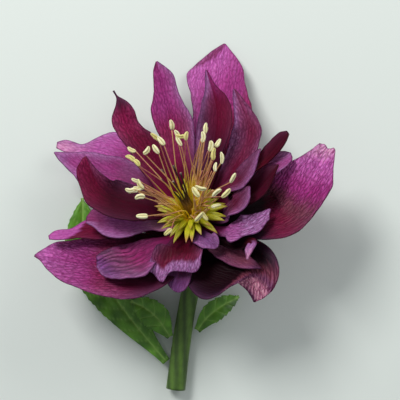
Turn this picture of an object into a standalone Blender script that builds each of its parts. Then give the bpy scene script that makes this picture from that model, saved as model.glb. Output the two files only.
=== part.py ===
"""Double hellebore bloom, picked with a short stem and lying on a flat surface.

The bloom is described round its own axis: an azimuth in degrees (0 to the right, 90 up, as seen from the
front), a reach out from the axis and a rise along it, in millimetres from the middle of the receptacle.
The stem and the bracts are given as seen from the front: x right, y up, z towards the viewer.
The bloom lies on its stem and its rear sepals, so the front view looks down on the surface. One small turn
and a shift set it in the part's frame: +Z up, the surface at z = 0, the origin under the middle of the
bounding box.
"""

import math
from collections import namedtuple
from random import Random

import bmesh
import bpy
from mathutils import Matrix, Vector

MM = 0.001

# How the bloom faces in the front view, and how that view lies on the surface
AXIS = Vector((-0.14, 0.63, 0.77)).normalized()
REST_TURN_X = 0.40
REST_TURN_Y = 0.46
REST_SHIFT = Vector((1.858, -1.340, 12.944))

# Stem, running up into the receptacle: x, y, z and radius, then rise on the axis and radius
STEM_POINTS = (
    (-4.2, -40.0, -10.4, 2.3),
    (-3.0, -30.0, -10.2, 2.2),
    (-1.4, -20.0, -10.0, 2.1),
    (0.2, -12.5, -9.4, 2.1),
    (1.0, -7.6, -7.9, 2.2),
)
RECEPTACLE_PROFILE = (
    (-6.4, 2.5),
    (-5.2, 3.2),
    (-1.5, 3.3),
    (2.2, 3.3),
    (2.6, 2.9),
)
RECEPTACLE_RADIUS = 3.3
RECEPTACLE_TOP = RECEPTACLE_PROFILE[-1][0]
STEM_SIDES = 12

# Petals: thickness, grid, and how their bases stack up the receptacle in six levels
PETAL_THICKNESS = 0.7
PETAL_ROWS = 10
PETAL_COLUMNS = 6
SEAT_GAP = 0.3
FIRST_LEVEL = -4.0
LEVEL_STEP = 1.05
NECK_REACH = 7.0
NECK_RISE = 0.15
NECK_STEP = 0.12
TIP_WIDTH = 0.5
CLAW_CURVE = 1.4
TIP_CURVE = 2.2
WAVE_LAG = 63.0

Petal = namedtuple(
    "Petal",
    "name level azimuth midrib width root widest tip cup wave skew",
    defaults=(0.0,),
)

# Each petal: level and azimuth of its base, three midrib points as azimuth, reach and rise, width and base
# width, place of the widest point, tip (0.4 blunt, 1 pointed, 1.5 drawn out), cup in degrees at base, middle
# and tip, waves of the margins as height, number and phase in degrees, and skew, the share of the width by
# which the right half is wider.
PETALS = (
    Petal("sepal_top", 0, 73, ((72, 14.3, 4.4), (76, 28.3, 10.4), (76.5, 42.3, 15.9)),
          14.5, 3.0, 0.77, 1.10, (25, 35, 10), (0.4, 2.0, 0)),
    Petal("sepal_right", 0, 0, ((-3, 12.0, -0.8), (-3, 21.6, 3.0), (15, 34.1, 10.4)),
          15.5, 2.8, 0.60, 0.55, (5, 30, 20), (0.5, 2.0, 60)),
    Petal("sepal_lower_right", 0, -56, ((-54, 11.5, -2.6), (-45, 18.7, -3.3), (-54, 21.7, -8.8)),
          16.5, 3.0, 0.45, 1.00, (15, 35, 40), (2.0, 1.0, 128)),
    Petal("sepal_lower_left", 0, -142, ((-145, 14.8, -2.4), (-159, 25.5, -1.1), (-169, 37.0, 1.9)),
          18.0, 3.0, 0.45, 1.15, (15, 30, 20), (0.4, 2.0, 0), -0.04),
    Petal("sepal_upper_left", 0, 128, ((128, 16.3, 1.5), (137, 28.2, 5.0), (148, 37.2, 8.8)),
          12.5, 3.0, 0.40, 1.05, (15, 30, 20), (0.4, 2.0, 0)),
    Petal("petal_left_low", 0, 180, ((178, 12.2, -0.3), (184, 21.7, 1.8), (188, 32.8, 4.6)),
          4.8, 1.6, 0.70, 0.70, (15, 40, 30), (0.2, 2.0, 0)),
    Petal("petal_left_back", 1, 154, ((154, 13.5, 2.6), (157, 23.8, 6.6), (155, 34.0, 12.4)),
          14.0, 2.4, 0.50, 1.15, (15, 30, 20), (0.3, 2.0, 0), 0.07),
    Petal("petal_right_back", 1, 20, ((21, 12.7, 2.6), (24, 19.3, 6.6), (21, 24.9, 10.1)),
          7.0, 2.2, 0.60, 0.55, (5, 35, 40), (0.3, 2.0, 0)),
    Petal("petal_bottom", 1, -99, ((-101, 9.5, -0.8), (-103, 13.3, -1.6), (-105, 16.8, -4.4)),
          5.0, 2.4, 0.60, 0.60, (20, 40, 40), (0.3, 2.0, 0)),
    Petal("petal_narrow", 2, 38, ((32, 13.4, 5.0), (28, 20.6, 9.3), (27, 26.6, 14.0)),
          4.2, 1.6, 0.60, 0.60, (10, 70, 70), (0.1, 2.0, 0)),
    Petal("petal_low_right", 2, -54, ((-53, 9.6, -0.9), (-49, 14.2, -0.9), (-41, 20.0, -2.0)),
          6.0, 2.2, 0.55, 0.80, (20, 50, 40), (0.3, 2.0, 0)),
    Petal("petal_hooked", 3, 122, ((123, 13.4, 6.0), (125, 24.3, 13.4), (122, 30.2, 19.0)),
          8.2, 2.4, 0.50, 1.40, (20, 50, 30), (0.3, 2.0, 0)),
    Petal("petal_right_dark", 3, 6, ((7, 10.5, 3.8), (7, 15.2, 7.0), (13, 21.4, 11.9)),
          7.0, 2.2, 0.55, 0.80, (20, 45, 40), (0.2, 2.0, 0), 0.03),
    Petal("petal_curled", 3, -45, ((-45, 9.3, 0.7), (-42, 14.7, 1.5), (-33, 18.0, 2.9)),
          5.5, 2.2, 0.60, 0.80, (20, 60, 60), (0.3, 2.0, 0)),
    Petal("petal_lower_left", 3, -141, ((-145, 10.5, 0.9), (-147, 17.2, 1.3), (-156, 24.0, 1.0)),
          9.0, 2.2, 0.65, 0.45, (20, 25, 40), (0.3, 2.0, 0)),
    Petal("petal_top_left", 4, 98, ((99, 12.1, 8.2), (99, 21.8, 15.2), (100, 31.0, 22.5)),
          9.0, 2.4, 0.50, 1.00, (30, 50, 30), (0.3, 2.0, 0)),
    Petal("petal_top_right", 4, 47, ((41, 12.1, 5.7), (45, 20.5, 12.9), (61, 25.2, 19.6)),
          8.0, 2.4, 0.50, 1.00, (30, 50, 40), (0.3, 2.0, 0)),
    Petal("petal_left_folded", 4, 190, ((188, 9.5, 2.8), (188, 16.3, 4.9), (184, 23.3, 6.0)),
          6.0, 2.2, 0.60, 0.70, (30, 40, 30), (0.3, 2.0, 0)),
    Petal("petal_bottom_left", 4, -112, ((-107, 9.3, 1.9), (-107, 12.6, 1.3), (-107, 16.4, -0.7)),
          10.5, 2.4, 0.85, 0.40, (30, 50, 10), (0.6, 2.0, 0)),
    Petal("petal_lower_right", 4, -33, ((-33, 9.7, 2.5), (-25, 14.0, 3.9), (-7, 18.4, 5.2)),
          7.5, 2.2, 0.55, 0.80, (10, 25, 20), (0.5, 2.0, 0)),
    Petal("petal_top_middle", 5, 66, ((64, 11.9, 8.7), (66, 19.0, 16.5), (75, 25.1, 24.3)),
          7.0, 2.2, 0.50, 1.00, (30, 65, 40), (0.2, 2.0, 0)),
    Petal("petal_left_inner", 5, 167, ((172, 10.3, 5.4), (177, 18.4, 12.3), (165, 22.1, 19.5)),
          11.5, 2.4, 0.50, 0.80, (30, 70, 40), (0.2, 2.0, 0)),
    Petal("petal_right_inner", 5, 18, ((23, 9.0, 6.1), (14, 12.8, 9.8), (20, 18.5, 16.0)),
          6.2, 1.8, 0.50, 0.90, (30, 50, 50), (0.3, 2.0, 0)),
    Petal("petal_right_small", 5, -12, ((-7, 9.0, 4.7), (-6, 11.0, 7.0), (-1, 14.0, 9.8)),
          4.2, 1.6, 0.60, 0.70, (20, 50, 40), (0.2, 2.0, 0)),
    Petal("petal_bottom_small", 5, -64, ((-63, 9.0, 3.9), (-61, 10.4, 3.5), (-60, 11.5, 2.5)),
          3.8, 1.8, 0.60, 0.60, (20, 30, 30), (0.1, 2.0, 0)),
)

# Bracts: four midrib points as x, y, z, then width, base width, widest point, tip and cup
Bract = namedtuple("Bract", "name midrib width root widest tip cup")
BRACTS = (
    Bract("bract_left",
          ((-5.8, -27.0, -9.4), (-8.5, -23.0, -8.4), (-11.5, -20.5, -8.2), (-15.0, -19.0, -9.5)),
          6.5, 2.0, 0.45, 0.9, (30, 30, 20)),
    Bract("bract_right",
          ((1.3, -25.5, -9.4), (3.6, -22.5, -8.4), (7.0, -20.0, -9.2), (11.0, -18.0, -11.0)),
          5.0, 2.0, 0.45, 0.9, (30, 30, 20)),
    Bract("bract_high",
          ((-6.8, -33.0, -10.3), (-16.0, -22.0, -11.0), (-25.5, -7.0, -11.2), (-26.5, 5.5, -10.5)),
          11.0, 2.4, 0.60, 0.9, (20, 20, 10)),
)

# Stamens: a ring on the receptacle's top, and a tuft of three rounds that leans up and a little to the left.
# Each round: how many, their angle from the tuft's axis in degrees, and their length. Those over the styles
# part to let them through, and the innermost ones are missing there.
STAMEN_ROUNDS = ((8, 11.0, 17.5), (12, 24.0, 18.0), (16, 35.0, 18.0))
STAMEN_LEAN = 9.0
STAMEN_LEAN_AZIMUTH = 110.0
STAMEN_PARTING = 5.0
STAMEN_RING = 1.75
STAMEN_RING_THICKNESS = 0.45
STAMEN_SIDES = 4
STAMEN_SPREAD = 6.0
STAMEN_TILT_SPREAD = 3.0
STAMEN_LENGTHS = (0.90, 1.08)
ELBOW_PLACE = 0.45
ELBOW_TILT = 0.92
FILAMENT_RADIUS = 0.32
ANTHER_RADIUS = 0.55
ANTHER_LENGTH = 2.4
ANTHER_SHOULDER = 0.3
ANTHER_END = 0.7

# Nectaries: a ring of trumpets between the stamens and the petals
NECTARY_COUNT = 13
NECTARY_RING = 2.95
NECTARY_RING_THICKNESS = 0.4
NECTARY_LENGTH = 5.2
NECTARY_LENGTHS = (0.92, 1.06)
NECTARY_TILT = 52.0
NECTARY_TILT_SPREAD = 3.0
NECTARY_SPREAD = 4.0
NECTARY_RADII = (0.42, 0.45, 0.6, 0.85, 1.05)
RING_STEPS = 24
ROUND_SIDES = 6

# Carpels: a fused group whose styles bend up and to the left
CARPEL_COUNT = 5
CARPEL_RING = 0.45
CARPEL_SPREAD = 1.6
CARPEL_SPREAD_CURVE = 3.0
CARPEL_LENGTH = 11.0
CARPEL_RADII = (0.5, 0.6, 0.6, 0.45, 0.32, 0.32, 0.32)
STYLE_REACH = 5.0
STYLE_CURVE = 1.8
STYLE_AZIMUTH = 132.0
STYLE_CLEARING = 50.0
SEED = 7


def across(direction):
    """Unit direction square to the bloom's axis, nearest to the one given."""
    return (direction - direction.dot(AXIS) * AXIS).normalized()


RIGHT = across(Vector((1, 0, 0)))
UP = AXIS.cross(RIGHT)


def on_bloom(azimuth, reach, rise):
    """Point in the front view from its azimuth round the axis, reach out from it and rise along it."""
    turn = math.radians(azimuth)
    return rise * AXIS + reach * (math.cos(turn) * RIGHT + math.sin(turn) * UP)


def placement():
    """From the front view, in millimetres, to the part's own frame, in metres."""
    turn = Matrix.Rotation(math.radians(REST_TURN_X), 4, "X") @ Matrix.Rotation(
        math.radians(REST_TURN_Y), 4, "Y"
    )
    return Matrix.Scale(MM, 4) @ Matrix.Translation(REST_SHIFT) @ turn


def blend3(values, s):
    """Smooth value at s from the values at 0, 0.5 and 1."""
    root, middle, tip = values
    return root * (1 - s) * (1 - 2 * s) + middle * 4 * s * (1 - s) + tip * s * (2 * s - 1)


class Curve:
    """Catmull-Rom curve through points, read by its share of their chord length."""

    def __init__(self, points):
        self.points = [Vector(p) for p in points]
        gaps = [(b - a).length for a, b in zip(self.points, self.points[1:])]
        self.knots = [sum(gaps[:i]) / sum(gaps) for i in range(len(self.points))]

    def slope(self, i):
        low, high = max(i - 1, 0), min(i + 1, len(self.points) - 1)
        return (self.points[high] - self.points[low]) / (self.knots[high] - self.knots[low])

    def at(self, s):
        i = max(k for k, knot in enumerate(self.knots[:-1]) if knot <= s)
        span = self.knots[i + 1] - self.knots[i]
        u = (s - self.knots[i]) / span
        return (
            self.points[i] * (1 + 2 * u) * (1 - u) ** 2
            + self.slope(i) * span * u * (1 - u) ** 2
            + self.points[i + 1] * u * u * (3 - 2 * u)
            + self.slope(i + 1) * span * u * u * (u - 1)
        )

    def along(self, s, step=0.01):
        return (self.at(min(s + step, 1.0)) - self.at(max(s - step, 0.0))).normalized()


def blade_width(blade, s):
    """Width at s along the midrib: a claw that opens out to the widest point, then the tip."""
    if s < blade.widest:
        x = s / blade.widest
        return blade.root + (blade.width - blade.root) * math.sin(math.pi / 2 * x) ** CLAW_CURVE
    x = (s - blade.widest) / (1 - blade.widest)
    return max(TIP_WIDTH, blade.width * (1 - x ** TIP_CURVE) ** blade.tip)


def bowed(half, cup, t):
    """How far a point at t (-1 left margin to 1 right margin) lies across and above the midrib."""
    bend = math.radians(cup) / 2
    return half * math.sin(bend * t) / bend, half * (1 - math.cos(bend * t)) / bend


def petal_point(petal, curve, s, t):
    along = curve.along(s)
    face = (AXIS - AXIS.dot(along) * along).normalized()
    side = along.cross(face)
    skew = petal.skew * math.copysign(1, t) * min(1, s / petal.widest)
    out, lift = bowed(blade_width(petal, s) * (0.5 + skew), blend3(petal.cup, s), t)
    height, number, phase = petal.wave
    lag = WAVE_LAG if t > 0 else 0.0
    ripple = math.sin(2 * math.pi * number * s + math.radians(phase + lag))
    lift += height * t * t * math.sin(math.pi * s) * ripple
    return curve.at(s) + side * out + face * lift


def bract_point(bract, curve, s, t):
    along = curve.along(s)
    side = along.cross(Vector((0, 0, 1))).normalized()
    face = side.cross(along)
    out, lift = bowed(blade_width(bract, s) / 2, blend3(bract.cup, s), t)
    return curve.at(s) + side * out + face * lift


def link(name, data, collection, material):
    if material:
        data.materials.append(material)
    obj = bpy.data.objects.new(name, data)
    collection.objects.link(obj)
    return obj


def make_blade(name, point_at, collection, material):
    """A blade: a grid bent to point_at(s, t), split into triangles, then given its thickness."""
    blade = bmesh.new()
    bmesh.ops.create_grid(blade, x_segments=PETAL_COLUMNS, y_segments=PETAL_ROWS, size=1.0)
    place = placement()
    for vertex in blade.verts:
        vertex.co = place @ point_at((vertex.co.y + 1) / 2, vertex.co.x)
    bmesh.ops.triangulate(blade, faces=blade.faces[:])
    mesh = bpy.data.meshes.new(name)
    blade.to_mesh(mesh)
    blade.free()
    mesh.shade_smooth()
    obj = link(name, mesh, collection, material)
    wall = obj.modifiers.new("Thickness", "SOLIDIFY")
    wall.thickness = PETAL_THICKNESS * MM
    wall.offset = 0.0
    return obj


def make_petal(petal, collection, material):
    base_rise = FIRST_LEVEL + LEVEL_STEP * petal.level
    neck_rise = base_rise + NECK_RISE + NECK_STEP * petal.level
    base = on_bloom(petal.azimuth, RECEPTACLE_RADIUS + SEAT_GAP, base_rise)
    neck = on_bloom(petal.azimuth, NECK_REACH, neck_rise)
    curve = Curve([base, neck] + [on_bloom(*point) for point in petal.midrib])
    make_blade(petal.name, lambda s, t: petal_point(petal, curve, s, t), collection, material)


def make_bract(bract, collection, material):
    curve = Curve(bract.midrib)
    make_blade(bract.name, lambda s, t: bract_point(bract, curve, s, t), collection, material)


def make_tube(name, points, radii, sides, collection, material):
    """A curve object through points, with its radius at each and filled ends."""
    data = bpy.data.curves.new(name, "CURVE")
    data.dimensions = "3D"
    data.bevel_depth = MM
    data.bevel_resolution = (sides - 4) // 2
    data.use_fill_caps = True
    spline = data.splines.new("POLY")
    spline.points.add(len(points) - 1)
    place = placement()
    for control, point, radius in zip(spline.points, points, radii):
        control.co = (*(place @ point), 1.0)
        control.radius = radius
    return link(name, data, collection, material)


def make_stem(collection, material):
    points = [Vector(p[:3]) for p in STEM_POINTS] + [rise * AXIS for rise, _ in RECEPTACLE_PROFILE]
    radii = [p[3] for p in STEM_POINTS] + [radius for _, radius in RECEPTACLE_PROFILE]
    make_tube("stem", points, radii, STEM_SIDES, collection, material)


def tube_piece(points, radii, sides, cyclic=False):
    """A tube made a mesh object, with its caps welded, ready to be fused."""
    holder = bpy.data.collections.new("tube")
    bpy.context.scene.collection.children.link(holder)
    curve = make_tube("tube", points, radii, sides, holder, None)
    curve.data.splines[0].use_cyclic_u = cyclic
    graph = bpy.context.evaluated_depsgraph_get()
    mesh = bpy.data.meshes.new_from_object(curve.evaluated_get(graph))
    bpy.data.objects.remove(curve)
    bpy.data.collections.remove(holder)
    weld = bmesh.new()
    weld.from_mesh(mesh)
    bmesh.ops.remove_doubles(weld, verts=weld.verts[:], dist=0.001 * MM)
    bmesh.ops.recalc_face_normals(weld, faces=weld.faces[:])
    weld.to_mesh(mesh)
    weld.free()
    return bpy.data.objects.new("tube", mesh)


def fuse(name, pieces, collection, material):
    """One closed body from pieces that overlap."""
    others = bpy.data.collections.new("pieces")
    bpy.context.scene.collection.children.link(others)
    for piece in pieces[1:]:
        others.objects.link(piece)
    bpy.context.scene.collection.objects.link(pieces[0])
    union = pieces[0].modifiers.new("Union", "BOOLEAN")
    union.operation = "UNION"
    union.operand_type = "COLLECTION"
    union.collection = others
    union.solver = "EXACT"
    graph = bpy.context.evaluated_depsgraph_get()
    mesh = bpy.data.meshes.new_from_object(pieces[0].evaluated_get(graph))
    for piece in pieces:
        bpy.data.objects.remove(piece)
    bpy.data.collections.remove(others)
    mesh.name = name
    mesh.materials.clear()
    mesh.shade_smooth()
    return link(name, mesh, collection, material)


def ring_piece(reach, rise, thickness):
    points = [on_bloom(360 * k / RING_STEPS, reach, rise) for k in range(RING_STEPS)]
    return tube_piece(points, [thickness] * RING_STEPS, ROUND_SIDES, cyclic=True)


def angle_between(a, b):
    return abs((a - b + 180) % 360 - 180)


def stamen_path(azimuth, angle, length, start):
    """Base, elbow and tip of one stamen."""
    lean = STAMEN_LEAN * math.cos(math.radians(azimuth - STAMEN_LEAN_AZIMUTH))
    parting = STAMEN_PARTING * max(0.0, 1 - angle_between(azimuth, STYLE_AZIMUTH) / STYLE_CLEARING)
    tilt = math.radians(angle + lean + parting)
    elbow = ELBOW_PLACE * length
    bend = ELBOW_TILT * tilt
    return [
        on_bloom(azimuth, STAMEN_RING, start),
        on_bloom(azimuth, STAMEN_RING + elbow * math.sin(bend), start + elbow * math.cos(bend)),
        on_bloom(azimuth, STAMEN_RING + length * math.sin(tilt), start + length * math.cos(tilt)),
    ]


def stamen_piece(azimuth, angle, length, start):
    """A thin filament that ends in a swollen anther."""
    curve = Curve(stamen_path(azimuth, angle, length, start))
    neck = 1 - ANTHER_LENGTH / length
    shoulder = neck + ANTHER_SHOULDER * (1 - neck)
    end = neck + ANTHER_END * (1 - neck)
    steps = (0.0, 0.25, 0.5, 0.75, neck, shoulder, end, 1.0)
    radii = [FILAMENT_RADIUS] * 5 + [ANTHER_RADIUS] * 2 + [FILAMENT_RADIUS]
    return tube_piece([curve.at(s) for s in steps], radii, STAMEN_SIDES)


def make_stamens(collection, material):
    chance = Random(SEED)
    start = RECEPTACLE_TOP + SEAT_GAP + STAMEN_RING_THICKNESS
    pieces = [ring_piece(STAMEN_RING, start, STAMEN_RING_THICKNESS)]
    for round_number, (count, angle, length) in enumerate(STAMEN_ROUNDS):
        for k in range(count):
            azimuth = 360 / count * (k + 0.5 * round_number) + chance.uniform(-STAMEN_SPREAD, STAMEN_SPREAD)
            angle_here = angle + chance.uniform(-STAMEN_TILT_SPREAD, STAMEN_TILT_SPREAD)
            length_here = length * chance.uniform(*STAMEN_LENGTHS)
            if round_number == 0 and angle_between(azimuth, STYLE_AZIMUTH) < STYLE_CLEARING:
                continue
            pieces.append(stamen_piece(azimuth, angle_here, length_here, start))
    fuse("stamens", pieces, collection, material)


def make_nectaries(collection, material):
    chance = Random(SEED)
    start = RECEPTACLE_TOP + SEAT_GAP + NECTARY_RING_THICKNESS
    pieces = [ring_piece(NECTARY_RING, start, NECTARY_RING_THICKNESS)]
    for k in range(NECTARY_COUNT):
        azimuth = 360 * k / NECTARY_COUNT + chance.uniform(-NECTARY_SPREAD, NECTARY_SPREAD)
        tilt = math.radians(NECTARY_TILT + chance.uniform(-NECTARY_TILT_SPREAD, NECTARY_TILT_SPREAD))
        length = NECTARY_LENGTH * chance.uniform(*NECTARY_LENGTHS)
        points = []
        for i in range(len(NECTARY_RADII)):
            far = length * i / (len(NECTARY_RADII) - 1)
            reach = NECTARY_RING + far * math.sin(tilt)
            points.append(on_bloom(azimuth, reach, start + far * math.cos(tilt)))
        pieces.append(tube_piece(points, NECTARY_RADII, ROUND_SIDES))
    fuse("nectaries", pieces, collection, material)


def make_carpels(collection, material):
    foot = RECEPTACLE_TOP + SEAT_GAP
    pieces = []
    for k in range(CARPEL_COUNT):
        azimuth = 360 * k / CARPEL_COUNT
        points = []
        for i in range(len(CARPEL_RADII)):
            s = i / (len(CARPEL_RADII) - 1)
            reach = CARPEL_RING + CARPEL_SPREAD * s ** CARPEL_SPREAD_CURVE
            own = on_bloom(azimuth, reach, foot + CARPEL_LENGTH * s)
            points.append(own + on_bloom(STYLE_AZIMUTH, STYLE_REACH * s ** STYLE_CURVE, 0.0))
        pieces.append(tube_piece(points, CARPEL_RADII, ROUND_SIDES))
    fuse("carpels", pieces, collection, material)


def finish_material(name, colour, roughness):
    material = bpy.data.materials.new(name)
    material.use_nodes = True
    shader = material.node_tree.nodes["Principled BSDF"]
    shader.inputs["Base Color"].default_value = (*colour, 1.0)
    shader.inputs["Roughness"].default_value = roughness
    shader.inputs["Metallic"].default_value = 0.0
    return material


def main():
    for obj in list(bpy.data.objects):
        bpy.data.objects.remove(obj)
    flower = bpy.data.collections.new("hellebore_flower")
    bpy.context.scene.collection.children.link(flower)
    petal_finish = finish_material("petal_plum", (0.27, 0.03, 0.13), 0.5)
    green = finish_material("stem_green", (0.12, 0.25, 0.05), 0.5)
    for petal in PETALS:
        make_petal(petal, flower, petal_finish)
    for bract in BRACTS:
        make_bract(bract, flower, green)
    make_stem(flower, green)
    make_stamens(flower, finish_material("stamen_cream", (0.80, 0.68, 0.35), 0.5))
    make_nectaries(flower, finish_material("nectary_green", (0.45, 0.45, 0.08), 0.45))
    make_carpels(flower, finish_material("carpel_brown", (0.12, 0.04, 0.03), 0.5))


main()
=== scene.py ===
"""Looks of a double hellebore bloom, picked with a short stem and lying on a pale surface.

The bloom is described round its own axis: an azimuth in degrees (0 to the right, 90 up, as seen from the
front), a reach out from the axis and a rise along it, in millimetres from the middle of the receptacle.
The stem and the bracts are given as seen from the front: x right, y up, z towards the viewer. One small turn
and a shift set the front view in the model's frame: +Z up, the surface at z = 0.
"""

import math
from collections import namedtuple
from random import Random

import bmesh
import bpy
from bpy.props import FloatProperty, FloatVectorProperty, IntProperty, PointerProperty
from mathutils import Matrix, Vector, noise


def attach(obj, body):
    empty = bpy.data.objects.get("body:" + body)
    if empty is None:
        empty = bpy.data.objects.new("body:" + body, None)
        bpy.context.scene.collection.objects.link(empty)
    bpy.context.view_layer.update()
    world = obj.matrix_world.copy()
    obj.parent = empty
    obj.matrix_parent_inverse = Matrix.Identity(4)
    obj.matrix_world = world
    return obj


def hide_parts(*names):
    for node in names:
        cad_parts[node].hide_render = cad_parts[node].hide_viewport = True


bl_info = {
    "name": "Double hellebore bloom",
    "version": (1, 0, 0),
    "blender": (4, 5, 0),
    "location": "View3D > Sidebar > Hellebore",
    "description": "Builds the petals, bracts, stem, stamens, nectaries and carpels of a cut bloom",
    "category": "Object",
}

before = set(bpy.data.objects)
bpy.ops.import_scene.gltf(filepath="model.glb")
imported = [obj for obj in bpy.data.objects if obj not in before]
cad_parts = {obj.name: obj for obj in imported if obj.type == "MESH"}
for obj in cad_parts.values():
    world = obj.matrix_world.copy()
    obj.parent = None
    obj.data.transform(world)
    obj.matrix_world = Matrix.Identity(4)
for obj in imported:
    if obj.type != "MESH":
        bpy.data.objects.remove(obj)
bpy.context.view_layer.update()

MM = 0.001
CM_PER_MM = 0.1

# How the bloom faces in the front view, where its viewer is, and how that view lies on the surface
AXIS = Vector((-0.14, 0.63, 0.77)).normalized()
FRONT = Vector((0, 0, 1))
REST_TURN_X = 0.40
REST_TURN_Y = 0.46
REST_SHIFT = Vector((1.858, -1.340, 12.944))

# The photograph: its pixels, their size on the plane of the receptacle, where the receptacle is and how far
# the camera stands from it, in millimetres
PHOTO_SIZE = 400
PIXEL = 0.23
RECEPTACLE_PIXEL = (193.0, 222.0)
CAMERA_DISTANCE = 280.0

# Stem and receptacle: x, y, z and radius, then rise on the axis and radius
STEM_POINTS = (
    (-4.2, -40.0, -10.4, 2.3),
    (-3.0, -30.0, -10.2, 2.2),
    (-1.4, -20.0, -10.0, 2.1),
    (0.2, -12.5, -9.4, 2.1),
    (1.0, -7.6, -7.9, 2.2),
)
RECEPTACLE_PROFILE = (
    (-6.4, 2.5),
    (-5.2, 3.2),
    (-1.5, 3.3),
    (2.2, 3.3),
    (2.6, 2.9),
)
RECEPTACLE_RADIUS = 3.3
RECEPTACLE_TOP = 2.6

# The stem: the bevel of its cut end and the share of the radius left there. Its grooves as depth, number and
# turn, the rows over which they set in, and where they run out. Its tones: green, dark stripe, red under the
# bloom and pith. Then the rows of pith, the stripes, and how red it gets and where.
STEM_STEPS = 70
STEM_SIDES = 48
CUT_BEVEL = 0.12
CUT_SHARE = 0.96
STEM_GROOVES = ((0.035, 5, 0.4), (0.02, 9, 1.0))
GROOVED_FROM = (0.0, 6.0)
GROOVED_TO = (0.70, 0.86)
STEM_TONES = ((92, 128, 44), (48, 74, 22), (96, 60, 40), (190, 205, 130))
PITH_ROWS = 1.4
STRIPE_TURN = (3.1, 0.6)
STRIPE_SCALE = (2.5, 0.15, 2.5)
STRIPE_DEPTH = 0.8
STEM_RED = 0.55
STEM_RED_FROM = (0.62, 0.8)

# Petals: how their bases stack up the receptacle and pass over the nectaries
SEAT_DEPTH = 0.3
FIRST_LEVEL = -4.0
LEVEL_STEP = 1.05
NECK_REACH = 7.0
NECK_RISE = 0.15
NECK_STEP = 0.12

# A pattern of noise: its depth, its turns to a millimetre across and along, and what it adds to the seed
Pattern = namedtuple("Pattern", "depth scale seed", defaults=(0,))

# The form of a blade, in millimetres and degrees. The waves of the right margin lag behind those of the left,
# and the unevenness of both fades at the tip. Pleats grow between two depths of the folds.
TIP_WIDTH = 0.35
WAVE_LAG = 63.0
MARGIN_UNEVEN = Pattern(0.22, (0.55, 5.0))
MARGIN_FADE_POWER = 6
SWELLS = Pattern(0.35, (0.16, 0.12), 3)
STREAKS = Pattern(1.0, (0.9, 0.07))
FINE_STREAKS = Pattern(0.5, (2.1, 0.13), 9)
RIDGE_DEPTH = 0.07
CREASE_DEPTH = 0.16
CREASE_WIDTH = 0.6
PLEAT_SPACING = 1.5
PLEAT_DEPTH = 0.16
PLEAT_FOLDS = (2.0, 4.5)
PLEAT_BEND = Pattern(1.6, (0.3, 0.25), 30)
CURL_START = 0.45
PETAL_THIN_REACH = 1.6

# Where along a petal each of these sets in and is full, as shares of its length
SHAPED_FROM = (0.1, 0.5)
UNEVEN_FROM = (0.2, 0.4)
CURLED_FROM = (0.1, 0.45)
PLEATED_FROM = (0.35, 0.75)
BROKEN_FROM = (0.05, 0.3)
EDGED_FROM = (0.15, 0.5)
CLOUDED_FROM = (0.2, 0.6)
VEINED_FROM = (0.15, 0.55)

# A petal's tones: how far streaks shift and shade them, the painted shade in the pleats' furrows and painted
# highlight on their crests, how far in the lilac margin reaches and the lilac clouds, both partly the petal's
# own lilac and partly painted sheen, and how much of its way to the tip counts as a way to the margin
TONE_BREAK = Pattern(0.035, (1.6, 30.0), 5)
TONE_STREAK = 0.12
TONE_STREAK_SCALE = 1.3
PLEAT_PAINTED_SHADE = 3.0
LILAC_SHEEN_REACH = 1.1
LILAC_SHEEN_MEAN = 0.6
LILAC_SHEEN_CLOUDS = Pattern(0.8, (0.3, 6.0))
TIP_EDGE_SHARE = 0.8

# Tones of the petals. The black, garnet and dark stops deep in the bloom stand partly for the petals' own
# dark colour and partly for painted shade; lilac stands partly for their own lilac and partly for painted
# sheen.
TONES = {
    "black": (22, 2, 8),
    "garnet": (74, 1, 22),
    "dark": (62, 4, 26),
    "maroon": (104, 10, 46),
    "wine": (128, 20, 66),
    "plum": (126, 32, 86),
    "magenta": (148, 38, 112),
    "pink": (184, 84, 162),
    "blush": (206, 136, 178),
    "rosewood": (108, 44, 64),
    "ash": (196, 118, 150),
    "dusk": (104, 50, 84),
    "violet": (100, 48, 104),
    "lilac": (158, 98, 154),
}

# Veins and pale patches to a centimetre, across and along a petal: long wavy veins, the net that links them,
# and the patches. Then how far noise bends the veins, in centimetres.
VEIN_WAVES = (4.2, 1.7)
VEIN_NET = (13.0, 5.0)
MOTTLE = (26.0, 11.0)
VEIN_BEND = (0.10, 0.16, 0.0)

# Each range is read from low to high and gives the two values behind them: depth of the long veins and of
# the net, where long veins break off, where pale patches lie, and the dark rim by its distance from the
# margin in millimetres
LONG_VEIN_RANGE = (0.05, 0.50, 1.0, 0.0)
NET_VEIN_RANGE = (0.01, 0.20, 0.8, 0.0)
BREAK_RANGE = (0.36, 0.60, 0.35, 1.0)
MOTTLE_RANGE = (0.42, 0.62, 0.0, 1.0)
RIM_RANGE = (0.05, 0.30, 0.7, 0.0)

# What the veins, the pale patches, the rim and the patches of other tissue multiply the tint by
VEIN_TINT = (0.24, 0.06, 0.18, 1.0)
MOTTLE_TINT = (1.45, 2.2, 1.6, 1.0)
RIM_TINT = (0.28, 0.16, 0.26, 1.0)
TISSUE_TINT = (0.45, 0.42, 0.35, 1.0)

# Share of the veins that stays on the darkest tones, and the red light between which they grow to the full
VEIN_DARK = 0.25
VEIN_LIGHT = (0.03, 0.2)

# Noise between which patches of other tissue set in. Fine grain: turns to a metre and height beside the veins
# on a petal, and turns to one patch on other tissue. Then what patches take from the roughness and add to it.
TISSUE_PATCHES = (0.3, 0.7)
PETAL_GRAIN = 2600.0
PETAL_GRAIN_SHARE = 0.35
TISSUE_GRAIN = 6
PETAL_GLOSS = (-0.08, 0.10)
TISSUE_GLOSS = (-0.06, 0.10)

# Places along the midrib where the two halves of a petal are measured
STATIONS = (0.0, 0.2, 0.4, 0.5, 0.6, 0.7, 0.8, 0.85, 0.9, 0.95, 1.0)

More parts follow.
